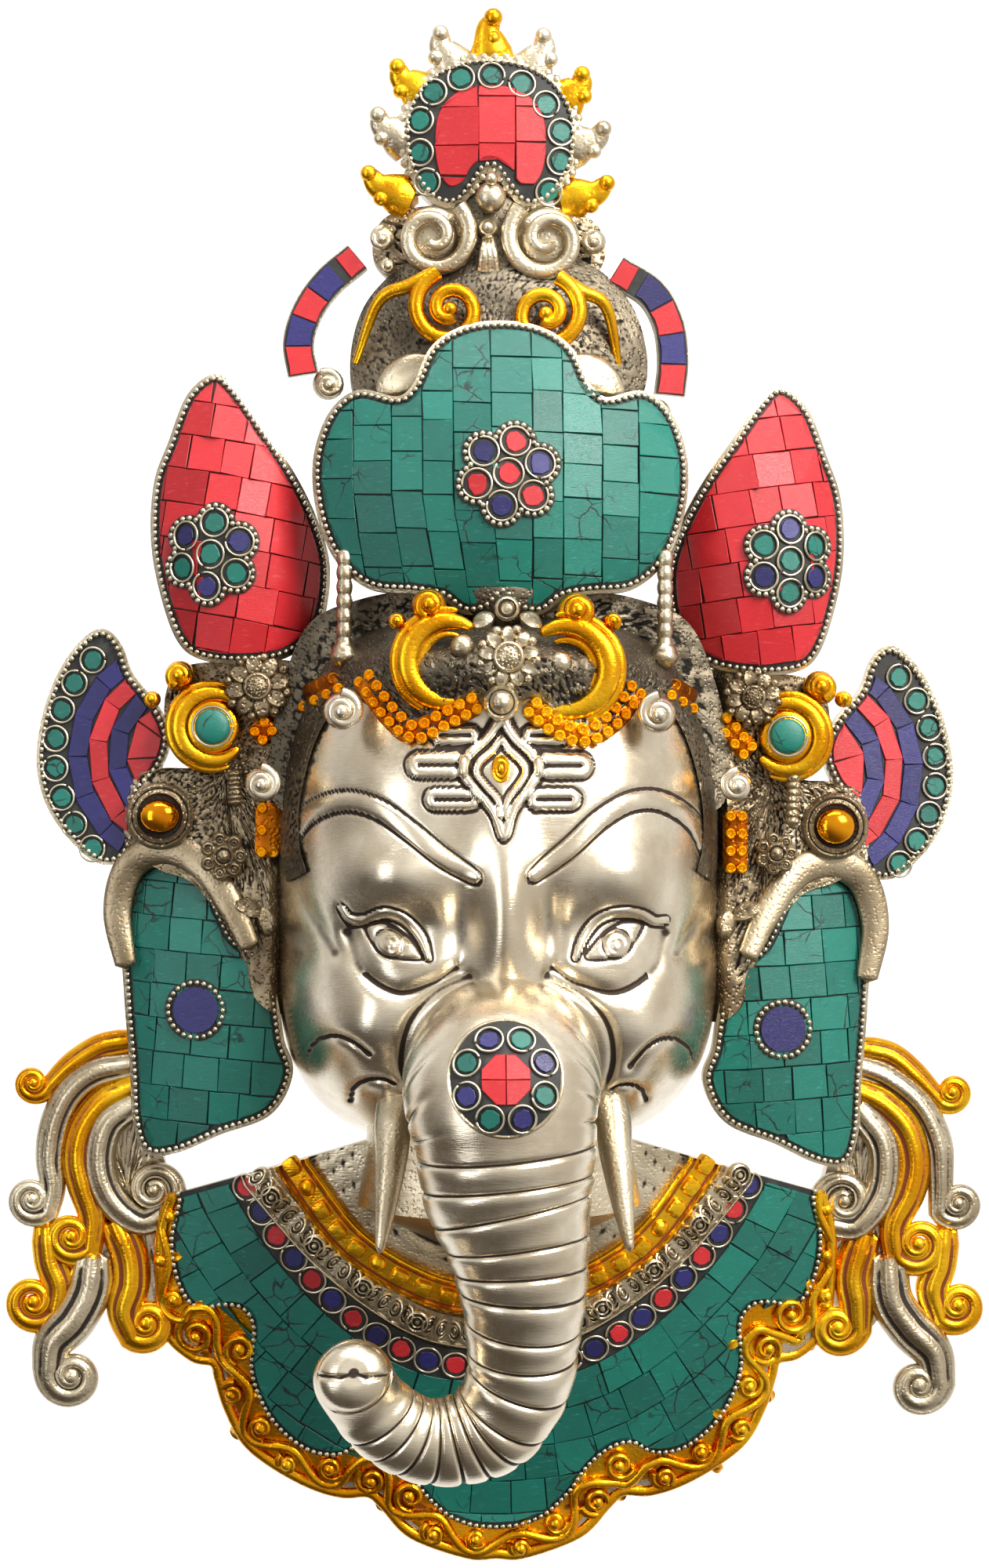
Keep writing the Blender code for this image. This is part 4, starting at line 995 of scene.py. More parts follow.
def mosaic(region, quads, surface, gap=0.22):
    """The chips of a region: what each quad shares with it, shrunk by half a joint."""
    chips = []
    for quad in quads:
        polygon = clip(region, np.asarray(quad) + rng.normal(0, 0.12, (4, 2)))
        if len(polygon) < 3:
            continue
        step = np.linalg.norm(polygon - np.roll(polygon, -1, axis=0), axis=1)
        polygon = polygon[step > 0.45]
        if len(polygon) < 3 or area(polygon) < SMALLEST_CHIP:
            continue
        chips.append(chip(grown(polygon, -gap), surface, rng.normal(0, 0.06)))
    return chips


def bead_row(path, surface, closed=True, radius=BEAD, pitch=BEAD_PITCH, lift=-0.2):
    """Beads strung at even steps along a line on a surface."""
    shut = np.vstack([path, path[:1]]) if closed else path
    count = max(int(round(length(shut) / pitch)), 2)
    spots = spline(path, count, closed)
    stand = surface(spots[:, 0], spots[:, 1]) + lift
    sizes = radius * (1.0 + rng.normal(0, 0.035, count))
    return repeat(ball(1.0, 1.0, 7, 4), np.column_stack([spots, stand]), sizes)


def seat(shape, place, surface, turn=0.0, size=1.0, lift=0.0):
    """A small flat-lying shape set square on a surface: its own x, z and d follow the slope."""
    x, z = place
    right, up = slopes(surface, x, z)
    side = np.array((1.0, 0.0, right)) / math.hypot(1.0, right)
    out = np.cross(side, np.array((0.0, 1.0, up)))
    out /= np.linalg.norm(out)
    top = np.cross(out, side)
    points, quads, tris = shape
    c, s = math.cos(turn), math.sin(turn)
    a, b = points[:, 0] * c - points[:, 1] * s, points[:, 0] * s + points[:, 1] * c
    local = a[:, None] * side + b[:, None] * top + points[:, 2:] * out
    spot = np.array((x, z, float(surface(x, z)))) + out * lift
    return local * size + spot, quads, tris


def wire_ring(radius, wire=0.46, gap=0.16):
    """A ring of bent wire with a small gap where its ends meet."""
    turn = np.linspace(gap, 2 * math.pi, 26)
    path = np.column_stack([radius * np.cos(turn), radius * np.sin(turn), np.zeros(len(turn))])
    return tube(path, wire, sides=7, tip=0.1)


def cut_stone(radius, thick=1.6):
    """A roughly round chip with eight to ten nipped sides and a bevelled top."""
    sides = int(rng.integers(8, 11))
    turn = 2 * math.pi * (np.arange(sides) + rng.normal(0, 0.12, sides)) / sides
    reach = radius * (1.0 + rng.normal(0, 0.05, sides))
    flat = reach[:, None] * unit(turn)
    rings = [(flat, -thick), (flat, -CHIP_BEVEL), (flat * 0.93, 0.0)]
    grid = np.array([np.column_stack([ring, np.full(sides, d)]) for ring, d in rings])
    return solid(grid, tips=((0, 0, -thick), (0, 0, 0.0)))


class Panel:
    """One inlaid panel: it collects shapes by finish, and then makes one piece for each."""

    FINISHES = {"turquoise": turquoise, "coral": coral, "lapis": lapis, "resin": resin,
                "wire": bead_wire, "rim": aged_silver, "gilt": gilt}
    SLOTS = {"wire": "antique_silver", "rim": "antique_silver"}

    def __init__(self, name, node, surface):
        self.name, self.node, self.surface = name, node, surface
        self.shapes = {kind: [] for kind in self.FINISHES}

    def add(self, kind, *shapes):
        self.shapes[kind] += shapes

    def lay_up(self, outline, centre, levels=9):
        """The metal plate, the resin bed and the row of beads round the edge."""
        shares = np.linspace(0.12, 1.0, levels)
        self.add("rim", dish(grown(outline, 1.9), centre, level(self.surface, -1.5),
                             level(self.surface, -8.0), shares))
        self.add("resin", dish(grown(outline, 0.7), centre, level(self.surface, -0.8),
                               level(self.surface, -3.6), shares))
        self.add("wire", bead_row(outline, self.surface))
        return grown(outline, -1.35)

    def cell(self, place, radius, kind, lift=0.0, stone=0.72):
        """A ring of wire with a chip inside it."""
        self.add("wire", seat(wire_ring(radius), place, self.surface, rng.random() * 6.28,
                              lift=lift))
        self.add(kind, seat(cut_stone(radius * stone), place, self.surface, rng.random() * 6.28,
                            lift=lift + 0.1))

    def cluster(self, place, kinds, start, radius=5.1, pitch=11.2, lift=0.5):
        """A middle cell in a ring of six, on a scalloped bed edged with beads."""
        turns = math.radians(start) - np.arange(6) * math.pi / 3
        right, up = slopes(self.surface, *place)
        narrow = np.array((1.0 / math.hypot(1.0, right), 1.0 / math.hypot(1.0, up)))
        spots = unit(turns) * pitch
        look = circle_turns(240)
        along = np.cos(look[:, None] - turns[None]) * pitch
        beside = np.sin(look[:, None] - turns[None]) * pitch
        edge = radius + 1.3
        reach = along + np.sqrt(np.maximum(edge ** 2 - beside ** 2, 0.0))
        reach = np.where(np.abs(beside) < edge, reach, 0.0).max(axis=1)
        scallop = unit(look) * reach[:, None]
        outline = np.array(place) + scallop * narrow
        bed = level(self.surface, lift - 0.35)
        self.add("resin", dish(grown(outline, 1.2), place, bed, level(self.surface, -2.5),
                               (0.25, 0.5, 0.75, 1.0)))
        self.add("wire", bead_row(spline(outline, 200, True), self.surface, radius=1.1,
                                  lift=lift - 0.1))
        for spot, kind in zip([(0.0, 0.0), *spots], kinds):
            self.cell(np.array(place) + np.array(spot) * narrow, radius, kind, lift)

    def make(self):
        for kind, shapes in self.shapes.items():
            if shapes:
                tones = rng.random(len(shapes))
                stone = kind in ("turquoise", "coral", "lapis")
                piece(f"{self.name}_{kind}", shapes, self.FINISHES[kind],
                      self.SLOTS.get(kind, kind), (self.node,), tones,
                      sharp=None if kind == "wire" else 30.0, spread=0 if stone else 4)


# %% Crown panel
CROWN_LINES = (-66, -51, -38, -27.5, -17, -4, 10, 20.5, 34, 47, 66)


def crown_warp(quad):
    """Columns that stand upright above and lean inwards below, on the left side."""
    low = np.clip(95.0 - quad[:, 1], 0.0, 40.0)
    left = np.clip((8.0 - quad[:, 0]) / 20.0, 0.0, 1.0)
    return np.column_stack([quad[:, 0] + 0.17 * low * left, quad[:, 1] - 0.03 * quad[:, 0]])


def build_crown():
    panel = Panel("crown", "crown_panel_inlay", crown_front)
    region = panel.lay_up(spline(both_halves(CROWN_PANEL), 260, True), (0.0, 100.0), 14)
    quads = courses(CROWN_LINES, 55.0, 165.0, 12.6, crown_warp)
    panel.add("turquoise", *mosaic(region, quads, crown_front))
    middle = seen((650, 604), 84.0)
    kinds = ("coral", "coral", "lapis", "coral", "lapis", "coral", "lapis")
    panel.cluster(middle, kinds, 78.0, lift=0.9)
    panel.make()


build_crown()

# %% Leaves, fans and ears
LEAF_CLUSTERS = {
    -1: ((272, 708), 83.0, "turquoise turquoise lapis turquoise lapis turquoise lapis"),
    1: ((1009, 715), 90.0, "turquoise lapis turquoise lapis turquoise lapis turquoise")}
FAN_CENTRE = (109.0, 7.5)
FAN_CELLS = 47.3
FAN_BANDS = ((42.8, 35.6, "lapis"), (35.6, 28.8, "coral"), (28.8, 21.8, "lapis"),
             (21.8, 5.0, "coral"))
EAR_DISC = {-1: (251, 1288), 1: (1002, 1314)}


def leaned(side, turn):
    """A warp that turns courses by some degrees and sets them at either side."""
    angle = math.radians(turn)

    def warp(quad):
        x = quad[:, 1] * math.cos(angle) - quad[:, 0] * math.sin(angle)
        z = quad[:, 1] * math.sin(angle) + quad[:, 0] * math.cos(angle)
        return to_side(np.column_stack([x, z]), side)

    return warp


def build_leaf(side, word):
    panel = Panel(f"leaf_{word}", f"crown_leaf_{word}_inlay", leaf_front)
    outline = spline(to_side(LEAF, side), 190, True)
    region = panel.lay_up(outline, to_side([(92, 84)], side)[0], 12)
    rows = np.arange(16.0, 175.0, 12.2)
    panel.add("coral", *mosaic(region, courses(rows, 30.0, 150.0, 12.4, leaned(side, 9.0)),
                               leaf_front))
    pixel, start, kinds = LEAF_CLUSTERS[side]
    panel.cluster(seen(pixel, 55.0), kinds.split(), start, radius=4.9, pitch=10.9, lift=1.5)
    panel.make()


def build_fan(side, word):
    panel = Panel(f"fan_{word}", f"fan_{word}_inlay", fan_front)
    region = panel.lay_up(spline(to_side(FAN, side), 150, True), to_side([(140, 8)], side)[0])
    for far, near, kind in FAN_BANDS:
        step = math.radians(22.0 * 40.0 / far) if near > 10 else math.radians(38.0)
        cuts = np.arange(math.radians(-75.0) - rng.random() * step, math.radians(85.0), step)
        quads = []
        for start, end in zip(cuts[:-1], cuts[1:]):
            turn = np.array([start, end, end, start])
            reach = np.array([near, near, far, far])
            quads.append(to_side(np.column_stack([FAN_CENTRE[0] + reach * np.cos(turn),
                                                  FAN_CENTRE[1] + reach * np.sin(turn)]), side))
        panel.add(kind, *mosaic(region, quads, fan_front))
    for turn in np.radians(np.linspace(44.6, -44.3, 8)):
        spot = (FAN_CENTRE[0] + FAN_CELLS * math.cos(turn),
                FAN_CENTRE[1] + FAN_CELLS * math.sin(turn))
        panel.cell(to_side([spot], side)[0], 4.5, "turquoise", -0.1)
    panel.make()


def build_ear(side, word):
    panel = Panel(f"ear_{word}", f"ear_{word}_inlay", ear_front)
    region = panel.lay_up(spline(to_side(EAR, side), 220, True), to_side([(104, -84)], side)[0], 12)
    rows = np.arange(-140.0, -15.0, 11.9)
    panel.add("turquoise", *mosaic(region, courses(rows, 65.0, 145.0, 12.2, leaned(side, 4.0)),
                                   ear_front))
    place = seen(EAR_DISC[side], 41.0)
    circle = unit(circle_turns(60))
    panel.add("resin", dish(place + 10.9 * circle, place, level(ear_front, 0.2),
                            level(ear_front, -2.0), (0.5, 1.0)))
    panel.add("lapis", chip(place + 8.1 * circle[::3], ear_front, 0.6))
    panel.add("wire", bead_row(place + 9.6 * circle, ear_front, lift=0.4))
    panel.make()


for side, word in ((-1, "left"), (1, "right")):
    build_leaf(side, word)
    build_fan(side, word)
    build_ear(side, word)

# %% [markdown]
# The collar hangs round the neck in bands, so its strips and joints are worked out as an angle and
# a distance from a centre under the chin, and not as x and z.

# %% Collar field
def polar(half, angles):
    """Distance from the collar's centre to a right-half outline, at degrees below level."""
    fine = spline(half, 20 * len(half)) - np.array(COLLAR_CENTRE)
    turn = np.degrees(np.arctan2(-fine[:, 1], fine[:, 0]))
    order = np.argsort(turn)
    return np.interp(angles, turn[order], np.hypot(fine[:, 0], fine[:, 1])[order])


def fold(angles):
    """Degrees below level, counted from whichever end is nearer."""
    return np.where(angles > 90.0, 180.0 - angles, angles)


def at_collar(angles, reach):
    """x, z of points at some degrees below level and a distance from the collar's centre."""
    turn = np.radians(angles)
    return np.stack([COLLAR_CENTRE[0] + reach * np.cos(turn),
                     COLLAR_CENTRE[1] - reach * np.sin(turn)], -1)


def collar_strip(inner, outer, front, back, steps=240, across=12):
    """A strip between two distances from the collar's centre, given for each angle."""
    angles = np.linspace(COLLAR_END, 180.0 - COLLAR_END, steps)
    near, far = (at_collar(angles, edge(fold(angles))) for edge in (inner, outer))
    return strip(near, far, front, back, across)


def collar_line(half, by=0.0, count=200, end=COLLAR_END):
    """An open line round the collar at a band's distance."""
    angles = np.linspace(end, 180.0 - end, count)
    return at_collar(angles, polar(half, fold(angles)) + by)


def build_collar_field():
    panel = Panel("collar", "collar_inlay", collar_front)
    panel.add("resin", collar_strip(lambda a: polar(STONE_ROW, a) - STONE_ROW_HALF,
                                    lambda a: polar(COLLAR_FIELD, a) + 0.9,
                                    level(collar_front, -0.8), level(collar_front, -3.8)))
    outer = collar_line(COLLAR_FIELD, -1.3, 260, COLLAR_END + 0.8)
    inner = collar_line(STONE_ROW, STONE_ROW_HALF - 0.6, 200, COLLAR_END + 0.8)
    region = np.vstack([outer, inner[::-1]])
    quads = []
    for number in range(8):
        near = STONE_ROW_HALF - 0.6 + 12.4 * number
        middle = 95.0 + near
        step = math.degrees(12.8 / middle)
        cuts = np.arange(10.0 - step * rng.random(), 172.0, step) + rng.normal(0, 0.4)
        cuts = cuts + rng.normal(0, 0.07 * step, len(cuts))
        for start, stop in zip(cuts[:-1], cuts[1:]):
            turn = np.array([start, stop, stop, start])
            reach = polar(STONE_ROW, fold(turn)) + near + np.array([0.0, 0.0, 12.4, 12.4])
            quads.append(at_collar(turn, reach))
    panel.add("turquoise", *mosaic(region, quads, collar_front))
    panel.add("wire", bead_row(collar_line(COLLAR_FIELD), collar_front, closed=False, pitch=2.36))
    row = collar_line(STONE_ROW, 0.0, 400, COLLAR_END + 2.6)
    spots = spline(row, int(length(row) / 9.45))
    for number, spot in enumerate(spots):
        panel.cell(spot, 4.75, "coral" if number % 2 else "lapis", -0.3)
    panel.make()


build_collar_field()

# %% [markdown]
# ## Cast ornament
#
# The rest of the casting is made of a few motifs, used again and again: a coiled tube, a turned
# disc with rings, a flower of rounded petals and a granulated boss. Each is one small function, and
# its places are read from the photograph, because they were set by eye and not by a rule.

# %% Motifs
def lathe(profile, sides=20):
    """A turned shape: radius and height pairs carried round, closed at the middle."""
    profile = np.asarray(profile, float)
    turn = circle_turns(sides)
    grid = np.stack([profile[:, :1] * np.cos(turn), profile[:, :1] * np.sin(turn),
                     np.broadcast_to(profile[:, 1:], (len(profile), sides))], -1)
    return solid(grid, tips=((0, 0, profile[0, 1]), (0, 0, profile[-1, 1])))


COIL_END = 0.55


def coil(centre, radius, start, turns, way, thick, depth, rise=1.6, knob=1.15, inner=0.2,
         count=70, surface=None, sides=12):
    """A tube that winds in to a knob at its middle. start is in degrees, way is 1 or -1."""
    path = spiral(centre, radius, math.radians(start), turns, way, count, inner, rise, depth)
    if surface is not None:
        path[:, 2] += surface(path[:, 0], path[:, 1])
    end = path[-1] * (0.35, 0.35, 1.0) + np.array((*centre, 0.0)) * (0.65, 0.65, 0.0)
    return [tube(path, thick * np.linspace(1.0, COIL_END, count), sides=sides),
            repeat(ball(1.0, 0.9, 12, 6), [end], thick * knob)]


def coin(radius, height=1.0):
    """A disc with two raised rings and a knob."""
    profile = [(0.05, 1.0), (0.16, 0.95), (0.24, 0.5), (0.3, 0.35), (0.38, 0.6), (0.46, 0.85),
               (0.54, 0.6), (0.6, 0.3), (0.7, 0.55), (0.8, 0.9), (0.92, 0.75), (1.0, 0.2),
               (1.0, -0.8)]
    return lathe([(r * radius, d * height) for r, d in profile], 16)


def granules(radius, height, size=0.5, count=26):
    """A dome covered with small grains, set by the golden angle."""
    turn = np.arange(count) * 2.39996
    reach = radius * 0.86 * np.sqrt((np.arange(count) + 0.5) / count)
    dome = height * np.sqrt(np.clip(1.0 - (reach / radius) ** 2, 0.0, 1.0))
    spots = np.column_stack([reach * np.cos(turn), reach * np.sin(turn), dome])
    return [ball(radius, height, 20, 8), repeat(ball(1.0, 1.0, 6, 3), spots, size)]


def petal(length_, width, height):
    """A rounded petal with a dented middle, lying along x."""
    share = np.linspace(0.02, 0.98, 12)[:, None]
    turn = circle_turns(14)[None]
    spread = width * np.sin(math.pi * share) ** 0.6
    dent = 1.0 - 0.45 * np.exp(-(np.cos(turn) / 0.35) ** 2) * (np.sin(turn) > 0)
    grid = np.stack([length_ * (share + 0 * turn), spread * np.cos(turn),
                     height * np.sin(math.pi * share) ** 0.5 * np.sin(turn) * dent], -1)
    return solid(grid)


def flower(petals, radius, boss, height=2.4):
    """Petals round a ringed and granulated boss."""
    turns = 2 * math.pi * np.arange(petals) / petals + 0.2
    one = petal(radius - boss * 0.8, 2.4 * radius / petals, height)
    spots = boss * 0.8 * np.column_stack([np.cos(turns), np.sin(turns), 0 * turns])
    tips = radius * 0.9 * np.column_stack([np.cos(turns + 0.39), np.sin(turns + 0.39), 0 * turns])
    collar = np.column_stack([boss * 1.05 * unit(circle_turns(30)), np.full(30, height * 0.9)])
    shapes = [repeat(one, spots, 1.0, turns), repeat(ball(1.0, 1.0, 8, 5), tips, radius * 0.16),
              tube(collar, boss * 0.2, closed=True, sides=8)]
    return shapes + [changed(shape, by=(0.0, 0.0, height * 0.6))
                     for shape in granules(boss, boss * 0.75)]


def rough(surface, amount=0.5, size=2.1):
    """A surface with hammered dints: a sum of waves in many directions, each with its own phase."""
    turns = rng.random(14) * 2 * math.pi
    waves = 2 * math.pi / (size * (0.7 + rng.random(14)))
    phases = rng.random(14) * 6.28

    def front(x, z):
        high = 0.0
        for turn, wave, phase in zip(turns, waves, phases):
            high = high + np.sin(wave * (x * math.cos(turn) + z * math.sin(turn)) + phase)
        return surface(x, z) + amount * np.abs(high) / 3.7

    return front


def fixed(depth):
    return lambda x, z: depth + 0.0 * x + 0.0 * z


# %% Collar casting
NECK_RADIUS = 40.0


def neck_front(x, z):
    """The collar's plate, with chased lines round the neck."""
    reach = np.hypot(x - COLLAR_CENTRE[0], z - COLLAR_CENTRE[1])
    lines = 0.7 * np.abs(np.sin(math.pi * (reach - 42.0) / 4.2)) ** 0.5 * (reach < 68.0)
    return collar_front(x, z) - 2.4 + lines


def band_profile(half, profile):
    """A surface on the collar whose height depends on how far it is off a band's middle line."""
    def front(x, z):
        turn = np.degrees(np.arctan2(-(z - COLLAR_CENTRE[1]), x - COLLAR_CENTRE[0]))
        off = np.hypot(x - COLLAR_CENTRE[0], z - COLLAR_CENTRE[1]) - polar(half, fold(turn))
        return collar_front(x, z) + profile(off)
    return front


def build_neck():
    plate = collar_strip(lambda a: NECK_RADIUS + 0.0 * a, lambda a: polar(COLLAR_RIM, a) - 2.0,
                         neck_front, level(collar_front, -8.0), 200, 48)
    path = spline([(0, -108, 46, 45), (0, -128, 44, 47), (0, -146, 42, 50)], 50)
    points, quads, tris = tube(path[:, :3], path[:, 3], 0.62 * path[:, 3], 84)
    reach = np.hypot(points[:, 0] - COLLAR_CENTRE[0], points[:, 1] - COLLAR_CENTRE[1])
    points[:, 2] += 0.5 * np.abs(np.sin(math.pi * reach / 4.2)) ** 0.5 * (points[:, 2] > 50)
    cast("neck", [plate, (points, quads, tris)], aged_silver)


def pillow(width, tall, high, power=0.45, sides=16):
    """A rounded square stud: rings of a superellipse that shrink as they rise."""
    turn = circle_turns(sides)
    flat = np.stack([width * np.sign(np.cos(turn)) * np.abs(np.cos(turn)) ** power,
                     tall * np.sign(np.sin(turn)) * np.abs(np.sin(turn)) ** power], -1)
    steps = [(1.0, -1.0), (1.0, 0.2), (0.96, 0.6), (0.84, 0.9), (0.5, 1.0)]
    grid = np.array([np.column_stack([flat * size, np.full(sides, high * up)])
                     for size, up in steps])
    return solid(grid, tips=((0, 0, -high), (0, 0, high * 1.02)))


def along_collar(half, pitch, end=COLLAR_END + 1.0, by=0.0):
    """Even places along a collar band, with the direction of the band at each."""
    line = collar_line(half, by, 400, end)
    spots = spline(line, int(length(line) / pitch))
    way = np.gradient(spots, axis=0)
    return spots, np.arctan2(way[:, 1], way[:, 0])


def build_bands():
    def stud_edge(off):
        return 0.4 + 1.5 * np.exp(-((np.abs(off) - 4.9) / 0.7) ** 2)

    def scale_edge(off):
        return -0.4 + 1.2 * np.exp(-((off - 5.4) / 0.6) ** 2)

    studs = [collar_strip(lambda a: polar(STUD_BAND, a) - 6.2, lambda a: polar(STUD_BAND, a) + 6.2,
                          band_profile(STUD_BAND, stud_edge), level(collar_front, -3.0), 240, 26)]
    spots, turns = along_collar(STUD_BAND, 8.3)
    for number, (spot, turn) in enumerate(zip(spots, turns)):
        if number % 4 == 3:
            shape = lathe([(0.2, 2.0), (1.4, 1.7), (2.6, 1.0), (3.2, 0.0), (3.2, -1.5)], 16)
        else:
            shape = pillow(3.3, 2.9, 1.9 + 0.3 * rng.random())
        studs.append(seat(shape, spot, collar_front, turn + rng.normal(0, 0.06), lift=0.5))
    cast("stud_band", studs, gilt)
    scales = [collar_strip(lambda a: polar(SCALE_BAND, a) - 5.0,
                           lambda a: polar(SCALE_BAND, a) + 6.0,
                           band_profile(SCALE_BAND, scale_edge), level(collar_front, -3.0), 240, 26)]
    spots, turns = along_collar(SCALE_BAND, 4.3)
    for number, (spot, turn) in enumerate(zip(spots, turns)):
        if number % 5 == 0:
            shape, lift = coin(4.4, 1.8), 0.8
        else:
            points, quads, tris = coin(4.3, 1.2)
            bank = -0.5 if number % 5 < 3 else 0.5
            tipped = points * (0.62, 1.0, 1.0) + points[:, :1] * (0.0, 0.0, bank)
            shape, lift = (tipped, quads, tris), 0.0
        scales.append(seat(shape, spot, collar_front, turn, lift=lift))
    cast("scale_band", scales, aged_silver)


# %% Scroll border
BAY = 15.5


def border_front(x, z):
    """Level with the chips along its inner edge, and rolled over at its outer edge."""
    turn = np.degrees(np.arctan2(-(z - COLLAR_CENTRE[1]), x - COLLAR_CENTRE[0]))
    reach = np.hypot(x - COLLAR_CENTRE[0], z - COLLAR_CENTRE[1])
    inner, outer = polar(COLLAR_FIELD, fold(turn)), polar(COLLAR_RIM, fold(turn))
    share = np.clip((reach - inner) / np.maximum(outer - inner, 1.0), 0.0, 1.0)
    return collar_front(x, z) - 1.6 - 5.0 * share ** 5


def build_border():
    shapes = [collar_strip(lambda a: polar(COLLAR_FIELD, a) + 0.8,
                           lambda a: polar(COLLAR_RIM, a) - 0.6,
                           border_front, level(collar_front, -8.0), 340, 18)]
    lip = collar_line(COLLAR_RIM, -2.4, 420)
    shapes.append(tube(laid(lip, border_front, 1.0), 2.2, sides=12))
    inner, outer = collar_line(COLLAR_FIELD, 0.0, 420), collar_line(COLLAR_RIM, 0.0, 420)
    mid = 0.5 * (inner + outer)
    wide = np.linalg.norm(outer - inner, axis=1)
    way, across = beside(mid)
    out = -across
    along = np.concatenate([[0], np.cumsum(np.linalg.norm(np.diff(mid, axis=0), axis=1))])
    bays = int(round(along[-1] / BAY))
    swing = np.sin(math.pi * bays * along / along[-1])
    vine = mid + out * (swing * 0.26 * wide)[:, None]
    shapes.append(tube(laid(spline(vine, 520), border_front, 1.3), 1.8, 2.0, sides=10))
    for bay in range(bays):
        at = int(np.interp((bay + 0.5) / bays * along[-1], along, np.arange(len(along))))
        sign = 1.0 if bay % 2 else -1.0
        radius = 0.27 * wide[at]
        centre = mid[at] + out[at] * sign * 0.13 * wide[at]
        start = math.degrees(math.atan2(*(way[at][::-1]))) + (90.0 if bay % 2 else -90.0)
        shapes += coil(centre, radius, start + 60.0, 1.35, -sign, 1.6, 1.3, surface=border_front,
                       inner=0.3, knob=1.4, count=32, sides=8)
        leaf = mid[at] - out[at] * sign * 0.36 * wide[at]
        shapes.append(seat(petal(6.5, 2.2, 2.6), leaf, border_front, rng.random() * 6.28))
    cast("scroll_border", shapes, gilt)


build_neck()
build_bands()
build_border()

# %% [markdown]
# Each lock of hair is a tapered strand with grooves along it, and it winds into a curl. The
# grooves are cut into the round section of the tube, so they turn with the curl.

# %% Hair
HAIR_GROUND = [(124, -92), (136, -98), (146, -118), (147, -150), (142, -178), (130, -196),
               (116, -196), (113, -160), (117, -140), (122, -120)]
LOCKS = {
    -1: (([(175, 1326), (131, 1334), (93, 1358), (66, 1384)], (46, 1379), 13),
         ([(175, 1356), (126, 1366), (94, 1390), (74, 1429), (67, 1475), (71, 1512), (64, 1544)],
          (45, 1526), 15),
         ([(175, 1384), (135, 1404), (110, 1438), (103, 1475), (110, 1512), (121, 1550),
           (118, 1590)],
          (95, 1573), 16),
         ([(175, 1406), (143, 1429), (131, 1466), (135, 1503), (154, 1536), (186, 1555),
           (218, 1540)],
          (199, 1514), 16),
         ([(64, 1562), (68, 1605), (79, 1638), (73, 1672)], (46, 1656), 17),
         ([(122, 1600), (117, 1642), (98, 1679), (72, 1708), (66, 1742)], (95, 1750), 22),
         ([(149, 1555), (167, 1596), (170, 1633), (161, 1670), (172, 1703)], (190, 1684), 19)),
    1: (([(1096, 1338), (1139, 1348), (1171, 1374), (1200, 1404)], (1218, 1394), 14),
        ([(1085, 1358), (1134, 1376), (1176, 1411), (1199, 1457), (1203, 1504), (1202, 1548)],
         (1225, 1536), 15),
        ([(1082, 1388), (1125, 1407), (1157, 1439), (1169, 1481), (1162, 1522), (1143, 1564),
          (1145, 1603)], (1173, 1587), 17),
        ([(1094, 1412), (1125, 1453), (1130, 1495), (1120, 1532), (1092, 1564), (1058, 1562)],
         (1077, 1531), 16),
        ([(1208, 1570), (1203, 1615), (1193, 1648), (1203, 1685)], (1225, 1667), 17),
        ([(1134, 1605), (1139, 1657), (1162, 1694), (1193, 1727), (1201, 1768)], (1174, 1768), 22),
        ([(1106, 1575), (1091, 1625), (1095, 1662), (1097, 1699)], (1070, 1694), 19)),
}
LOCK_DEPTH = 15.5
LOCK_LIFTS = (0.0, 1.2, 2.4, 3.4, 0.0, 1.2, 0.6)
LOCK_HALF = 0.278


def lock(path, end, half, lift):
    """A strand, and then a spiral that closes in on the curl's middle."""
    path, middle = seen(path, LOCK_DEPTH), seen(end, LOCK_DEPTH)
    last = path[-1]
    away, travel = last - middle, last - path[-2]
    way = 1.0 if away[0] * travel[1] - away[1] * travel[0] > 0 else -1.0
    strand = spline(path, 34)
    share = np.linspace(0, 1, 56)[1:]
    reach = np.linalg.norm(away) * (1.0 - 0.8 * share ** 0.85)
    turn = math.atan2(away[1], away[0]) + way * share * 1.5 * 2 * math.pi
    wound = middle + reach[:, None] * unit(turn)
    rise = np.concatenate([np.zeros(len(strand)), 3.0 * share]) + LOCK_DEPTH + lift
    along = np.linspace(0.0, 1.0, len(strand))
    root = np.interp(along, (0.0, 0.65, 1.0), (1.3, 1.3, 1.0))
    thick = np.concatenate([root, 1.0 - 0.68 * share ** 0.6]) * half * LOCK_HALF
    thick[:6] *= np.linspace(0.85, 1.0, 6)
    placed = np.column_stack([np.vstack([strand, wound]), rise])
    knob = np.array([*middle, LOCK_DEPTH + lift + 2.4])
    return [tube(placed, thick, thick * 0.9, 34, ribs=3, rib=0.28),
            repeat(ball(1.0, 0.9, 14, 7), [knob], half * LOCK_HALF * 0.55)]


def build_hair():
    gold, pale = [], []
    for side in (-1, 1):
        ground = spline(to_side(HAIR_GROUND, side), 120, True)
        pale.append(dish(ground, to_side([(131.0, -146.0)], side)[0], rough(fixed(16.5), 0.5),
                         fixed(7.0), np.linspace(0.08, 1.0, 16)))
        for number, (path, end, half) in enumerate(LOCKS[side]):
            shapes = lock(path, end, half, LOCK_LIFTS[number])
            if number % 2 == 0:
                gold += shapes
            else:
                pale += shapes
    cast("gold_locks", gold, gilt)
    cast("silver_locks", pale, aged_silver)


build_hair()

# %% [markdown]
# ## Sides of the crown
#
# Between the panels the casting is left rough from the mould and darkened, so that the bright
# ornament stands out from it. The dints are a sum of waves, small enough to read as texture.

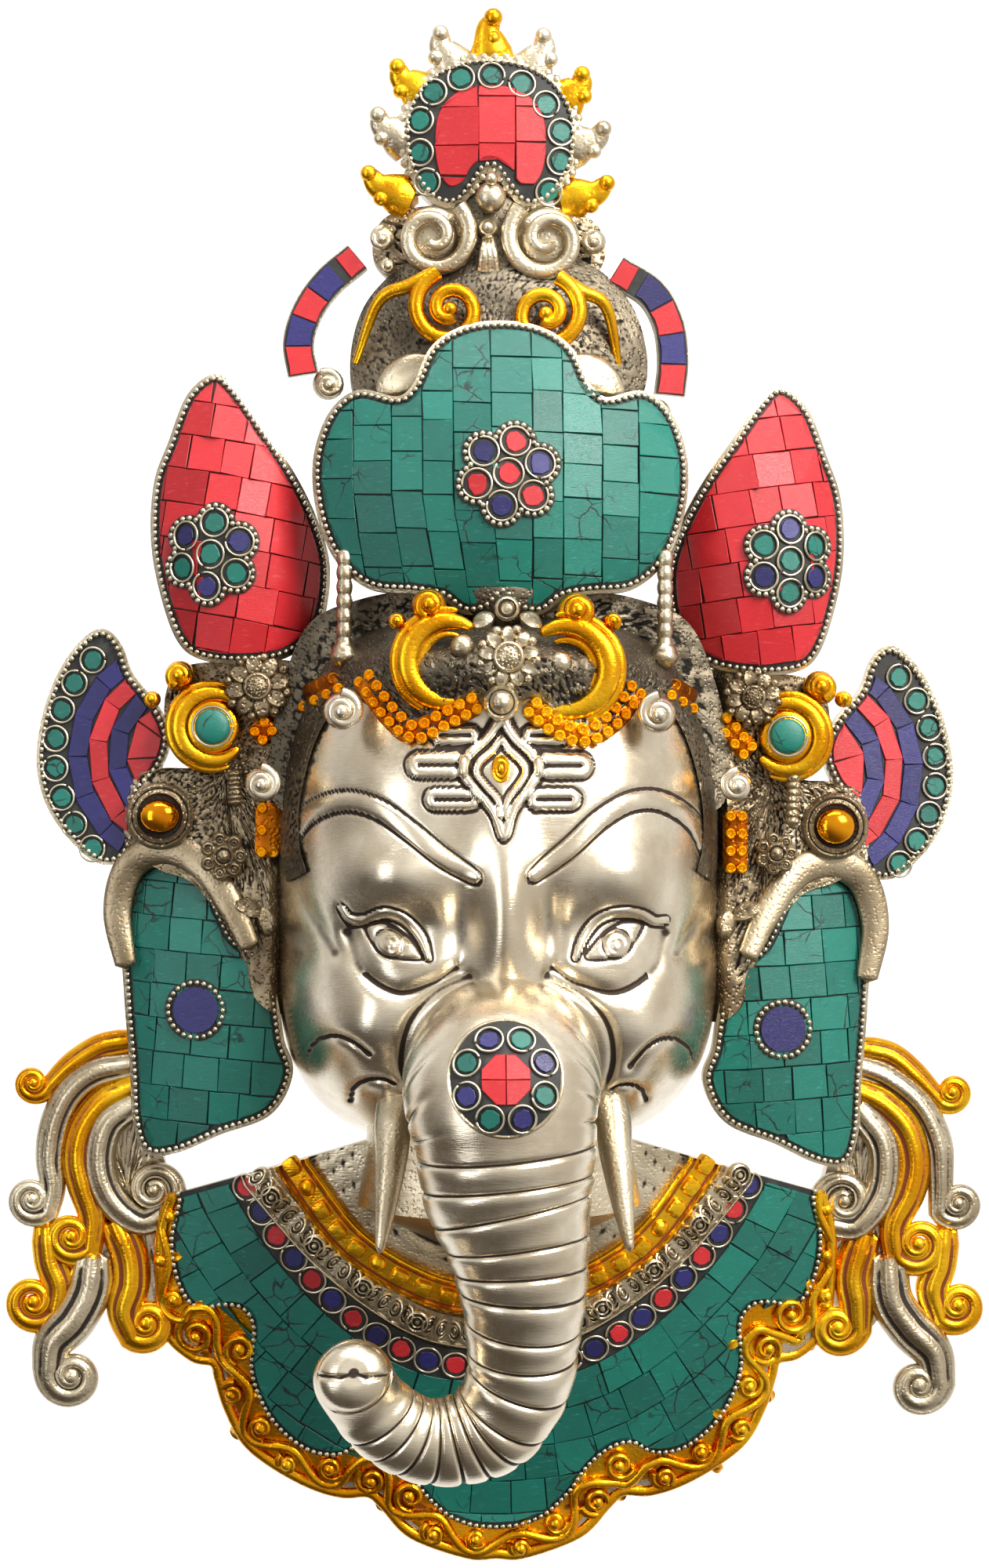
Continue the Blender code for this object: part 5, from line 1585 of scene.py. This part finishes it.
# %% Side grounds and ear rims
SIDE_GROUND = [(70, 41), (88, 41), (112, 38), (117, 20), (106, 5), (119, 3), (129, -2),
               (131, -24), (120, -32), (106, -38), (92, -58), (84, -78), (70, -78), (70, -30),
               (69, 4), (66, 28)]
EAR_RIM = [(131, -66, 31), (134, -47, 29), (129, -31, 30), (116, -25, 34), (103, -31, 38),
           (94, -44, 42), (87, -58, 46)]


def side_front(x, z):
    """Falling outwards, and dipping under the edge of the face."""
    return 44.0 - 0.25 * (np.abs(x) - 76.0) - 2.2 * np.clip(80.0 - np.abs(x), 0.0, 14.0) + 0.0 * z


def build_sides():
    ground, rims = [], []
    for side in (-1, 1):
        outline = spline(to_side(SIDE_GROUND, side), 200, True)
        ground.append(dish(outline, to_side([(96.0, 2.0)], side)[0], rough(side_front, 0.7, 2.2),
                           level(side_front, -9.0), np.linspace(0.04, 1.0, 40)))
        flat = to_side([(x, z) for x, z, _ in EAR_RIM], side)
        path = spline(np.column_stack([flat, [d for _, _, d in EAR_RIM]]), 90)
        width = 5.6 * np.sin(math.pi * np.linspace(0.12, 0.9, 90)) ** 0.4
        rims.append(tube(path, width, width * 0.42, 28))
    cast("side_grounds", ground, rough_silver)
    cast("ear_rims", rims, worn_silver)


# %% Crescents, rosettes and cabochons
CRESCENTS = {-1: ((273, 927), (231, 862), 18, (196, 892), 10),
             1: ((1007, 939), (1050, 876), 20, (1080, 891), 10)}
ROSETTES = (((330, 876), 43), ((963, 889), 37))
LOW_ROSETTES = (((287, 1092), 32), ((993, 1089), 28))
CABOCHONS = (((206, 1041), 26, 22), ((1069, 1054), 26, 24))
RINGED_RODS = (((1015, 988), (1013, 1052)), ((300, 984), (302, 1026)))
CLAWS = (((300, 1150), -25.0), ((972, 1155), 205.0), ((345, 1195), 100.0), ((925, 1200), 80.0))
CRESCENT_DEPTH = 47.0
PX = 0.27


def stepped(centre, side, scale, depth, turns=125.0):
    """A crescent in three steps: a low flange outside, a broad horned arc and a low inner lip."""
    shapes = []
    for reach, half, low, spread in ((1.28, 0.17, -1.6, 0.8), (1.0, 0.3, 0.0, 1.0),
                                     (0.68, 0.14, -0.8, 0.9)):
        turn = np.radians(np.linspace(-turns * spread, turns * spread, 80))
        fall = np.maximum(np.cos(turn * 90.0 / turns / spread), 0.0) ** 0.6
        thick = half * scale * (0.3 + 0.7 * fall)
        path = np.column_stack([centre[0] + side * reach * scale * np.cos(turn),
                                centre[1] + reach * scale * np.sin(turn),
                                np.full(80, depth + low)])
        shapes.append(tube(path, thick, 0.75 * thick, sides=12))
    return shapes


def curled(spot, size, depth, side):
    """A fat coil on a low knob."""
    radius = size * PX
    base = ball(radius, 4.0, 18, 7)
    return coil(spot, radius * 0.66, 250.0 if side < 0 else 290.0, 1.35, side, radius * 0.4, depth,
                rise=2.2, sides=10) + [repeat(base, [(*spot, depth - 3.5)])]


def build_crescents():
    gold = []
    for side, (stone_at, curl_at, curl_size, small_at, small_size) in CRESCENTS.items():
        centre = seen(stone_at, CRESCENT_DEPTH)
        gold += stepped(centre, side, 11.6, CRESCENT_DEPTH - 2.0, 140.0)
        bezel = lathe([(8.2, 0.4), (8.8, 0.0), (9.4, -1.4), (9.4, -9.0)], 40)
        gold.append(repeat(bezel, [(*centre, CRESCENT_DEPTH - 1.0)]))
        for at, size in ((curl_at, curl_size), (small_at, small_size)):
            gold += curled(seen(at, CRESCENT_DEPTH - 3.0), size * 1.1, CRESCENT_DEPTH - 3.5, side)
        word = "left" if side < 0 else "right"
        nodes = (f"crescent_{word}_stone",)
        dome = repeat(ball(6.1, 1.9, 40, 12), [(*centre, CRESCENT_DEPTH + 1.6)])
        piece(f"crescent_{word}_cabochon", [dome], turquoise, "turquoise", nodes, [0.8])
        ring = repeat(wire_ring(6.9, 0.55), [(*centre, CRESCENT_DEPTH + 1.7)])
        piece(f"crescent_{word}_ring", [ring], bead_wire, "antique_silver", nodes)
    cast("crescents", gold, gilt)


def placed(shapes, pixel, depth, turn=0.0):
    """Shapes moved to a pixel of the photograph at a depth, and turned."""
    spot = (*seen(pixel, depth), depth)
    return [repeat(shape, [spot], 1.0, [turn]) for shape in shapes]


def build_rosettes():
    shapes = []
    for pixel, size in ROSETTES:
        plug = lathe([(0.5, 0.5), (size * PX * 0.9, 0.3), (size * PX * 0.95, -8.0)], 24)
        shapes += placed(flower(8, size * PX, size * PX * 0.34, 3.0) + [plug], pixel, 47.5)
    for pixel, size in LOW_ROSETTES:
        turns = 2 * math.pi * np.arange(7) / 7
        reach = size * PX * 0.68
        spots = np.column_stack([reach * np.cos(turns), reach * np.sin(turns), 0 * turns])
        ring = lathe([(0.3, 0.9), (0.6, 1.3), (1.1, 0.9), (1.6, 1.5), (2.2, 1.1), (2.6, 0.0),
                      (2.6, -2.0)], 14)
        boss = [lathe([(0.2, 3.6), (1.2, 3.3), (2.0, 2.4), (2.5, 1.6), (3.2, 2.2), (3.9, 1.4),
                       (4.2, 0.0), (4.2, -2.0)], 24)]
        plug = lathe([(0.5, 0.8), (size * PX * 0.8, 0.4), (size * PX * 0.85, -8.0)], 24)
        shapes += placed([repeat(ring, spots, size * PX / 8.0), plug] + boss, pixel, 45.0)
    for pixel, _, _ in CABOCHONS:
        bezel = lathe([(7.6, 1.2), (8.2, 2.2), (9.0, 1.4), (9.8, 0.8), (10.6, 1.6), (11.4, 0.8),
                       (11.8, -0.5), (11.8, -4.0)], 44)
        shapes += placed([bezel], pixel, 38.0)
    for top, low in RINGED_RODS:
        ends = seen([top, low], 44.0)
        line = np.column_stack([spline(ends, 70), np.full(70, 44.0)])
        shapes.append(tube(line, 2.0 + 0.7 * np.abs(np.sin(math.pi * 7 * np.linspace(0, 1, 70))),
                           sides=16))
    for pixel, turn in CLAWS:
        shapes += placed([petal(11.0, 3.6, 4.0), petal(7.0, 2.6, 5.0)], pixel, 42.0,
                         math.radians(turn))
    cast("rosettes", shapes, rough_silver)
    stones = []
    for pixel, wide, tall in CABOCHONS:
        dome = changed(ball(1.0, 4.6, 36, 12), (wide * PX, tall * PX, 1.0))
        stones += placed([dome], pixel, 39.5)
    cast("amber_cabochons", stones, amber)


build_sides()
build_crescents()
build_rosettes()

# %% Crown band over the brow
BAND_OUTER = [(0, 62), (40, 59), (63, 40), (76, 8), (78, -22), (74, -34)]
BAND_INNER = [(0, 25), (11, 29), (22, 20), (30, 17), (42, 24), (53, 29), (63, 17), (69, -4),
              (69.5, -20), (67, -30)]
CROWN_PLATE = [(0, 66), (30, 67), (52, 63), (66, 56), (74, 40), (79, 20), (79, -6), (60, -10),
               (0, -10)]
CURLS = (((438, 907), 24, 88), ((840, 911), 24, 88), ((336, 1000), 22, 66), ((941, 1002), 20, 66))
DROP_AT = (640, 981)
GARLANDS = ([(345, 1085), (346, 1030)], [(930, 1105), (930, 1040)],
            [(334, 940), (372, 905), (430, 872)], [(945, 958), (905, 915), (860, 880)],
            [(466, 866), (500, 912), (530, 934), (566, 918), (606, 897)],
            [(680, 902), (712, 928), (749, 938), (784, 916), (812, 880)])


def band_front(x, z):
    return head_front(x, z) + 1.6


def whole(half):
    """An open line from the left end over the middle to the right end."""
    return [(-x, z) for x, z in reversed(half) if x > 0] + list(half)


def crown_ground(x, z):
    """The plate behind the brow: it leans back to the sides."""
    return 60.0 - 16.0 * (x / 80.0) ** 2 + 0.0 * z


def garland_front(x, z):
    """The head, and outside it the side grounds."""
    return np.where(np.abs(x) > 76.0, np.maximum(head_front(x, z), side_front(x, z)),
                    head_front(x, z))


def build_crown_band():
    plate = spline(both_halves(CROWN_PLATE), 230, True)
    shapes = [dish(plate, (0.0, 30.0), rough(crown_ground, 0.9, 2.4), level(crown_ground, -12.0),
                   np.linspace(0.04, 1.0, 44)), strip(spline(whole(BAND_OUTER), 270), spline(whole(BAND_INNER), 270),
                    rough(band_front, 1.1, 2.4), level(head_front, -3.0), 36)]
    cast("crown_band", shapes, charcoal)
    curls = []
    for pixel, size, depth in CURLS:
        side = -1 if pixel[0] < 632 else 1
        spot = seen(pixel, depth)
        curls += coil(spot, size * PX * 0.9, 90.0, 1.6, side, size * PX * 0.36, depth + 4.0,
                      rise=2.6, sides=10)
        curls.append(changed(ball(size * PX, 6.0, 18, 8), by=(*spot, depth)))
    cast("brow_curls", curls, silver)
    beads, under = [], []
    ring = lathe([(0.25, 0.75), (0.55, 0.35), (0.8, 0.45), (1.05, 0.85), (1.3, 0.6), (1.4, -0.8)],
                 10)
    for pixels in GARLANDS:
        line = drawn(pixels, 90)
        _, out = beside(line)
        under.append(tube(laid(line, garland_front, 1.0), 4.4, 1.2, sides=6))
        for row in (-2.1, 2.1):
            path = line + out * row
            spots = spline(path, max(int(length(path) / 3.9), 2))
            stand = garland_front(spots[:, 0], spots[:, 1]) + 3.2
            beads.append(repeat(ring, np.column_stack([spots, stand]), 1.5))
    cast("garlands", beads, bead_gilt, spread=2)
    # The beds under the beads take the darker gilt as painted shade.
    cast("garland_beds", under, painted_shade_gilt)


def build_drop():
    """A gilt drop in the raised lens on the forehead."""
    drop = lathe([(0.2, 2.2), (1.0, 2.0), (1.4, 1.4), (2.2, 1.6), (2.8, 1.0), (3.4, 1.2),
                  (3.9, 0.4), (4.0, -3.0)], 28)
    spot = drawn([DROP_AT] * 3, 3)[1]
    place = (*spot, float(head_front(*spot)) + 1.0)
    cast("third_eye_drop", [changed(drop, (0.8, 1.25, 1.0), place)], gilt)


build_crown_band()
build_drop()

# %% Ornament over the brow
ROSETTE_AT = (650, 838)
STEPPED = (((573, 844), 65, (549, 772), 22, (508, 792), 11, -1),
           ((723, 853), 68, (737, 779), 24, (783, 792), 12, 1))
FRONT_DEPTH = 98.0


def build_front_ornament():
    gold, pale = [], []
    for centre_at, size, curl_at, curl_size, small_at, small_size, side in STEPPED:
        centre = seen(centre_at, FRONT_DEPTH - 6.0)
        gold += stepped(centre, side, size * PX * 0.78, FRONT_DEPTH - 5.0)
        for at, width in ((curl_at, curl_size), (small_at, small_size)):
            gold += curled(seen(at, 92.0), width, 92.0, side)
    cast("brow_crescents", gold, gilt)
    pale += placed(flower(9, 10.6, 4.3, 3.4), ROSETTE_AT, 99.0)
    pale += placed([ball(4.4, 3.5, 20, 8)], (648, 776), 92.0)
    pale += placed([coin(4.3, 2.0)], (648, 776), 94.0)
    for side in (-1, 1):
        pale += placed([petal(8.5, 3.0, 3.0)], (648 + 16 * side, 784), 92.0,
                       math.radians(-90 + 62 * side))
    pale += placed([lathe([(0.3, 4.6), (2.0, 4.2), (3.6, 2.4), (4.2, 1.0), (5.2, 1.6), (6.0, 0.6),
                           (6.2, -4.0)], 28)], (641, 896), 100.0)
    pale += placed([ball(4.2, 3.6, 16, 7)], (591, 825), 96.0)
    pale += placed([ball(4.2, 3.6, 16, 7)], (716, 846), 96.0)
    cast("brow_ornament", pale, aged_silver)


# %% Rods beside the crown panel
RODS = ((441, 703, 850), (851, 703, 850))


def build_rods():
    shapes = []
    for px, top, bottom in RODS:
        path = seen([(px, top), (px - 1, bottom)], 66.0)
        line = spline(path, 120)
        share = np.linspace(0, 1, 120)
        width = 2.3 + 0.55 * np.abs(np.sin(math.pi * 8 * share)) + 2.2 * (share > 0.8) * np.sin(
            math.pi * np.clip((share - 0.8) / 0.2, 0, 1))
        shapes.append(tube(np.column_stack([line, 64.0 + 0 * share]), width, sides=18))
    cast("rods", shapes, aged_silver)


build_front_ornament()
build_rods()

# %% [markdown]
# ## Topknot and finial
#
# Above the panel the hair is drawn up into a rough knot with two gold coils, and broad bevelled
# scrolls carry the finial. The finial is a horseshoe, ringed by nine tongues of flame.

# %% Topknot
TOPKNOT = [(0, 186), (28, 184), (44, 172), (51, 156), (51, 138), (40, 120), (20, 112), (0, 110)]
KNOT_LEAVES = ((22.0, 147.0, -28.0, 24.0), (18.0, 134.0, -50.0, 18.0))
KNOT_COILS = (((575, 395), 47, (455, 462), -1), ((697, 400), 47, (792, 470), 1))


def knot_front(x, z):
    return 60.0 - 16.0 * (x / 50.0) ** 2 - 20.0 * ((z - 140.0) / 50.0) ** 2


def build_topknot():
    outline = spline(both_halves(TOPKNOT), 220, True)
    mass = dish(outline, (0.0, 148.0), rough(knot_front, 0.4, 2.6), level(knot_front, -26.0),
                np.linspace(0.03, 1.0, 42))
    path = spline([(0, 62, 70, 20), (0, 90, 56, 30), (0, 120, 46, 34)], 30)
    spine = tube(path[:, :3], path[:, 3], path[:, 3] * 0.5, 36)
    neck = spline([(-2, 160, 34, 26), (-3, 190, 32, 22), (-3, 214, 28, 20)], 30)
    piece("topknot", [mass, spine, tube(neck[:, :3], neck[:, 3], neck[:, 3] * 0.55, 36)],
          charcoal, "antique_silver", ("mask_body",))
    gold = []
    for pixel, size, tail, side in KNOT_COILS:
        centre, end = seen(pixel, 58.0), seen(tail, 50.0)
        wind = spiral(centre, size * PX * 1.05, math.radians(90 - 20 * side), 1.5, -side, 90, 0.22,
                      2.0, 58.0)
        top = wind[0]
        lead = spline([(*end, 47.0), (*(0.5 * (end + top[:2]) + (6.0 * side, 5.5)), 54.0),
                       (*(0.25 * end + 0.75 * top[:2] + (2.0 * side, 3.4)), 57.0), top], 50)
        path = np.vstack([lead[:-1], wind])
        width = np.concatenate([np.linspace(1.3, 2.9, 49), np.linspace(2.9, 2.3, 90)])
        gold.append(tube(path, width, sides=16))
        gold.append(repeat(ball(1.0, 1.0, 14, 7), [(*centre, 60.0)], 2.6))
    cast("knot_coils", gold, gilt)
    lobes = []
    for side in (-1, 1):
        for x, z, turn, size in KNOT_LEAVES:
            angle = math.radians(turn if side > 0 else 180 - turn)
            lobes.append(seat(petal(size, 0.3 * size, 4.0), (side * x, z), knot_front, angle,
                              lift=1.0))
    cast("knot_leaves", lobes, aged_silver)


# %% Scrolls under the finial
BROAD = (((553, 303), 52, 50, -1), ((699, 306), 54, 130, 1))
BROAD_DEPTH = 48.0
SCROLL_GROUND = [(478, 300), (500, 272), (560, 262), (690, 262), (752, 276), (772, 304), (768, 340),
                 (720, 366), (630, 372), (530, 366), (484, 340)]


def scroll_front(x, z):
    """The ground behind the scrolls, falling to both sides."""
    return BROAD_DEPTH - 7.5 - 0.003 * x ** 2 + 0.0 * z
SMALL_SCROLLS = (((489, 305), 16), ((759, 308), 16), ((496, 340), 10))


def build_scrolls():
    ground = spline(seen(SCROLL_GROUND, BROAD_DEPTH - 8.0), 140, True)
    piece("scroll_ground", [dish(ground, seen((627, 318), BROAD_DEPTH), rough(scroll_front, 0.8, 2.2),
                                 level(scroll_front, -8.0), np.linspace(0.04, 1.0, 24))],
          rough_silver, "antique_silver", ("mask_body",))
    shapes = []
    for pixel, size, start, way in BROAD:
        centre = seen(pixel, BROAD_DEPTH)
        path = spiral(centre, size * PX, math.radians(start), 1.5, way, 120, 0.16, 2.5, BROAD_DEPTH)
        width = np.linspace(3.1, 1.8, 120)
        shapes.append(tube(path, width, width * 0.8, 14))
        shapes += placed([ball(size * PX * 0.8, 5.0, 24, 8)], pixel, BROAD_DEPTH - 6.5)
    for pixel, size in SMALL_SCROLLS:
        shapes += coil(seen(pixel, 46.0), size * PX * 0.85, 90.0, 1.4, 1.0, size * PX * 0.32, 45.0)
        shapes += placed([ball(size * PX, 4.0, 16, 6)], pixel, 43.0)
    shapes += placed([ball(5.4, 5.0, 22, 10)], (627, 252), 47.0)
    shapes += placed([ball(2.2, 2.2, 14, 7)], (628, 228), 51.0)
    shapes += placed([lathe([(0.3, 3.6), (1.4, 3.2), (2.0, 2.2), (2.8, 2.8), (3.4, 1.8),
                             (3.6, -3.0)], 22)], (623.5, 291), 47.0)
    for aside in (-9, 0, 9):
        top, low = seen((624 + aside * 0.4, 303), 48.0), seen((624 + aside, 345), 46.0)
        path = spline([(*top, 46.0), (*(0.5 * (top + low)), 48.5), (*low, 46.5)], 24)
        shapes.append(tube(path, np.linspace(1.2, 2.1, 24), sides=12))
    cast("finial_scrolls", shapes, aged_silver)


# %% Finial
FINIAL_CENTRE = (-3.0, 228.0)
FINIAL_FRONT = 42.0
FINIAL_OUTLINE = [(0, 24.6), (12, 23), (22, 17), (28, 7), (28.6, -4), (26, -14), (19, -22.5),
                  (12, -23.5), (7, -18), (3, -12.5), (0, -11.5)]
FINIAL_STONES = ((546, 232), (537, 195), (537, 154), (554, 118), (589, 100), (628, 97), (667, 107),
                 (698, 133), (717, 168), (716, 205), (702, 244))
FINIAL_FIELD = [(0, 16.6), (11, 14.6), (18.4, 7), (20, -4), (18.6, -14), (14.5, -19.5), (9.5, -18),
                (6, -12.5), (0, -9.5)]
FLAMES = (((630, 65), (630, 12), 0, 1), ((580, 78), (558, 35), -1, 0), ((680, 82), (698, 37), 1, 0),
          ((535, 113), (500, 80), -1, 1), ((724, 121), (750, 87), 1, 1),
          ((510, 172), (475, 142), -1, 0), ((738, 182), (780, 160), 1, 0),
          ((510, 246), (462, 218), -1, 1), ((734, 250), (785, 230), 1, 1))


def finial_front(x, z):
    away = np.hypot(x - FINIAL_CENTRE[0], z - FINIAL_CENTRE[1])
    return FINIAL_FRONT + 4.0 * (1.0 - (away / 29.0) ** 2)


def build_finial():
    panel = Panel("finial", "finial_inlay", finial_front)
    outline = spline(both_halves(FINIAL_OUTLINE), 220, True) + np.array(FINIAL_CENTRE)
    panel.add("rim", dish(grown(outline, 2.4), FINIAL_CENTRE, level(finial_front, -1.4),
                          level(finial_front, -12.0), np.linspace(0.1, 1.0, 9)))
    panel.add("resin", dish(grown(outline, 0.4), FINIAL_CENTRE, level(finial_front, -0.6),
                            level(finial_front, -3.6), np.linspace(0.1, 1.0, 9)))
    field = spline(both_halves(FINIAL_FIELD), 160, True) + np.array(FINIAL_CENTRE)
    lines = (-25, -7.4, 5.6, 25)
    quads = courses(lines, 202.0, 250.0, 12.6, lambda quad: quad)
    panel.add("coral", *mosaic(grown(field, -0.4), quads, finial_front))
    for pixel in FINIAL_STONES:
        panel.cell(seen(pixel, 43.0), 4.6, "turquoise", -0.1)
    panel.add("wire", bead_row(grown(outline, 0.1), finial_front, pitch=2.5, radius=1.05))
    grains = grown(outline, 2.2)
    grains = grains[grains[:, 1] > 207.0]
    turns = np.arctan2(grains[:, 1] - 228.0, grains[:, 0] + 3.0)
    grains = grains[np.argsort(np.mod(turns + math.pi / 2, 2 * math.pi))]
    panel.add("rim", bead_row(grains, level(finial_front, -2.4), closed=False, radius=1.9,
                              pitch=3.7))
    panel.make()


def build_flames():
    gold, pale = [], []
    for base_at, tip_at, side, golden in FLAMES:
        base, tip = seen(base_at, 38.0), seen(tip_at, 38.0)
        out = (tip - base) / np.linalg.norm(tip - base)
        across = np.array((-out[1], out[0])) * (-side if side else 1)
        tall = np.linalg.norm(tip - base)
        knob = 3.0 if side else 3.4
        path = np.array([(*(base - out * 4.0), 36.0), (*(base + out * 0.15 * tall + across), 38.0),
                         (*(base + out * 0.5 * tall + across * 1.6), 39.0),
                         (*(tip - out * knob * 1.1), 40.0)])
        line = spline(path, 40)
        width = np.interp(np.linspace(0, 1, 40), [0, 0.3, 0.6, 1.0], [8.0, 7.4, 5.2, 3.0])
        shapes = [tube(line, width, width * 0.6, 16, ribs=1, rib=0.3)]
        shapes.append(changed(ball(knob, knob, 16, 9), by=(*(tip - out * knob), 40.5)))
        low = base + out * 0.28 * tall + across * (5.4 if side else 0.0)
        shapes.append(changed(ball(2.7, 2.6, 14, 8), by=(*low, 40.0)))
        if golden:
            gold += shapes
        else:
            pale += shapes
    cast("gold_flames", gold, gilt)
    cast("silver_flames", pale, aged_silver)


build_topknot()
build_scrolls()
build_finial()
build_flames()

# %% Ribbons
RIBBON_PATHS = {
    -1: [(455, 330), (420, 360), (394, 397), (382, 438), (388, 478)],
    1: [(790, 345), (833, 372), (855, 412), (861, 458), (857, 502)]}
RIBBON_CURLS = {-1: (420, 491), 1: (838, 528)}
RIBBON_DEPTH = 40.0


def build_ribbons():
    ends = []
    for side, word in ((-1, "left"), (1, "right")):
        panel = Panel(f"ribbon_{word}", f"ribbon_{word}_inlay", fixed(RIBBON_DEPTH))
        line = spline(seen(RIBBON_PATHS[side], RIBBON_DEPTH), 120)
        first = line[0] + (line[0] - line[1]) * 2.0
        line = spline(np.vstack([first, line]), 120)
        _, out = beside(line)
        for half, front, back, kind in ((5.4, -1.4, -7.0, "rim"), (4.9, -0.5, -3.0, "resin")):
            panel.add(kind, strip(line - out * half, line + out * half,
                                  fixed(RIBBON_DEPTH + front), fixed(RIBBON_DEPTH + back), 6))
        for number in range(5):
            low, high = int(number * 119 / 5), int((number + 1) * 119 / 5)
            part = line[low:high + 1:8]
            edge = out[low:high + 1:8]
            polygon = np.vstack([part - edge * 4.5, (part + edge * 4.5)[::-1]])
            kind = "lapis" if number % 2 else "coral"
            panel.add(kind, chip(grown(polygon, -0.25), fixed(RIBBON_DEPTH)))
        panel.make()
        ends += coil(seen(RIBBON_CURLS[side], 42.0), 4.6, 120.0, 1.5, side, 1.7, 41.0)
        ends += placed([ball(5.6, 5.0, 18, 8)], RIBBON_CURLS[side], 38.0)
    cast("ribbon_curls", ends, aged_silver)


build_ribbons()

# %% Medallion
MEDALLION = (-2.0, -95.0)
MEDALLION_RADIUS = 18.4
MEDALLION_FRONT = 154.4
MEDALLION_TILT = -0.317
MEDALLION_BEND = -0.0154
MEDALLION_ROUND = -0.0145


def medallion_front(x, z):
    """Bent over the root of the trunk."""
    up = z - MEDALLION[1]
    return (MEDALLION_FRONT + MEDALLION_TILT * up + MEDALLION_BEND * up ** 2
            + MEDALLION_ROUND * (x - MEDALLION[0]) ** 2)


def build_medallion():
    panel = Panel("medallion", "trunk_medallion_inlay", medallion_front)
    circle = np.array(MEDALLION) + MEDALLION_RADIUS * unit(circle_turns(120))
    panel.add("resin", dish(circle, MEDALLION, level(medallion_front, -0.7),
                            level(medallion_front, -4.0), np.linspace(0.1, 1.0, 10)))
    panel.add("rim", tube(laid(circle, medallion_front, -0.9), 0.7, closed=True, sides=8))
    for number in range(8):
        angle = math.radians(67.5 + 45.0 * number)
        spot = np.array(MEDALLION) + 13.6 * np.array((math.cos(angle), math.sin(angle)))
        panel.cell(spot, 4.5, "lapis" if number % 2 else "turquoise", 0.0)
    octagon = np.radians(22.5 + 45.0 * np.arange(8))
    around = np.array(MEDALLION) + 8.6 * unit(octagon)
    x, z = MEDALLION
    for right, up in ((1, 1), (1, -1), (-1, -1), (-1, 1)):
        far_x, far_z = x + 20 * right, z + 20 * up
        quad = np.array([(x, z), (far_x, z), (far_x, far_z), (x, far_z)])
        panel.add("coral", chip(grown(clip(around, quad), -0.15), medallion_front))
    panel.make()


build_medallion()

# %% Back
def build_back():
    """A flat bar across the hollow of the head, which the mask hangs by."""
    half, tall, deep = 76.0, 10.0, 8.0
    corners = np.array([(-tall, 0.3), (-tall, 0.0), (tall, 0.0), (tall, 0.3), (tall, deep),
                        (-tall, deep)])
    grid = np.array([[(x, z, d) for z, d in corners] for x in np.linspace(-half, half, 12)])
    cast("hanging_bar", [solid(grid)], aged_silver)


build_back()

# %% [markdown]
# ## Light and background

# %% Studio
def area_light(name, place, aim, size, power, colour=(1.0, 1.0, 1.0)):
    """A soft light at a place in metres that points at another."""
    from mathutils import Vector
    light = bpy.data.lights.new(name, "AREA")
    light.shape = "RECTANGLE"
    light.size, light.size_y = size
    light.energy, light.color = power, colour
    lamp = bpy.data.objects.new(name, light)
    bpy.context.scene.collection.objects.link(lamp)
    lamp.location = place
    lamp.rotation_euler = (Vector(aim) - Vector(place)).to_track_quat("-Z", "Y").to_euler()


BACKDROP = 2.6
bpy.ops.mesh.primitive_plane_add(size=14.0, location=(0.0, BACKDROP, 0.0),
                                 rotation=(math.pi / 2, 0.0, 0.0))
backdrop = bpy.context.object
backdrop.name = "backdrop"
paper = Graph("paper")
paper.fill(paper.shader.inputs["Base Color"], rgb(235, 236, 238))
paper.fill(paper.shader.inputs["Emission Color"], rgb(226, 229, 233))
paper.fill(paper.shader.inputs["Emission Strength"], 0.75)
backdrop.data.materials.append(paper.material)

world_shade = bpy.data.worlds.new("studio")
bpy.context.scene.world = world_shade
world_shade.use_nodes = True
sky = world_shade.node_tree
way = sky.nodes.new("ShaderNodeTexCoord")
slope = sky.nodes.new("ShaderNodeVectorMath")
slope.operation = "DOT_PRODUCT"
slope.inputs[1].default_value = (0.5, 0.0, 0.85)
fade = sky.nodes.new("ShaderNodeMapRange")
fade.interpolation_type = "SMOOTHSTEP"
fade.inputs["From Min"].default_value = -0.85
fade.inputs["From Max"].default_value = 0.2
shades = sky.nodes.new("ShaderNodeMix")
shades.data_type = "RGBA"
shades.inputs[6].default_value = rgb(104, 96, 88)
shades.inputs[7].default_value = rgb(255, 252, 246)
sky.links.new(way.outputs["Generated"], slope.inputs[0])
sky.links.new(slope.outputs["Value"], fade.inputs["Value"])
sky.links.new(fade.outputs["Result"], shades.inputs[0])
sky.links.new(shades.outputs[2], sky.nodes["Background"].inputs["Color"])
world_shade.node_tree.nodes["Background"].inputs["Strength"].default_value = 0.78

area_light("key", (0.9, -1.1, 0.9), (0.0, 0.0, 0.0), (0.7, 0.7), 44.0, (1.0, 0.97, 0.92))
area_light("fill", (-1.2, -1.2, 0.1), (0.0, 0.0, 0.0), (0.6, 1.4), 7.0, (0.92, 0.95, 1.0))
area_light("top", (0.0, -0.4, 1.3), (0.0, 0.0, 0.0), (1.2, 0.4), 12.0)

bpy.context.scene.view_settings.view_transform = "Standard"
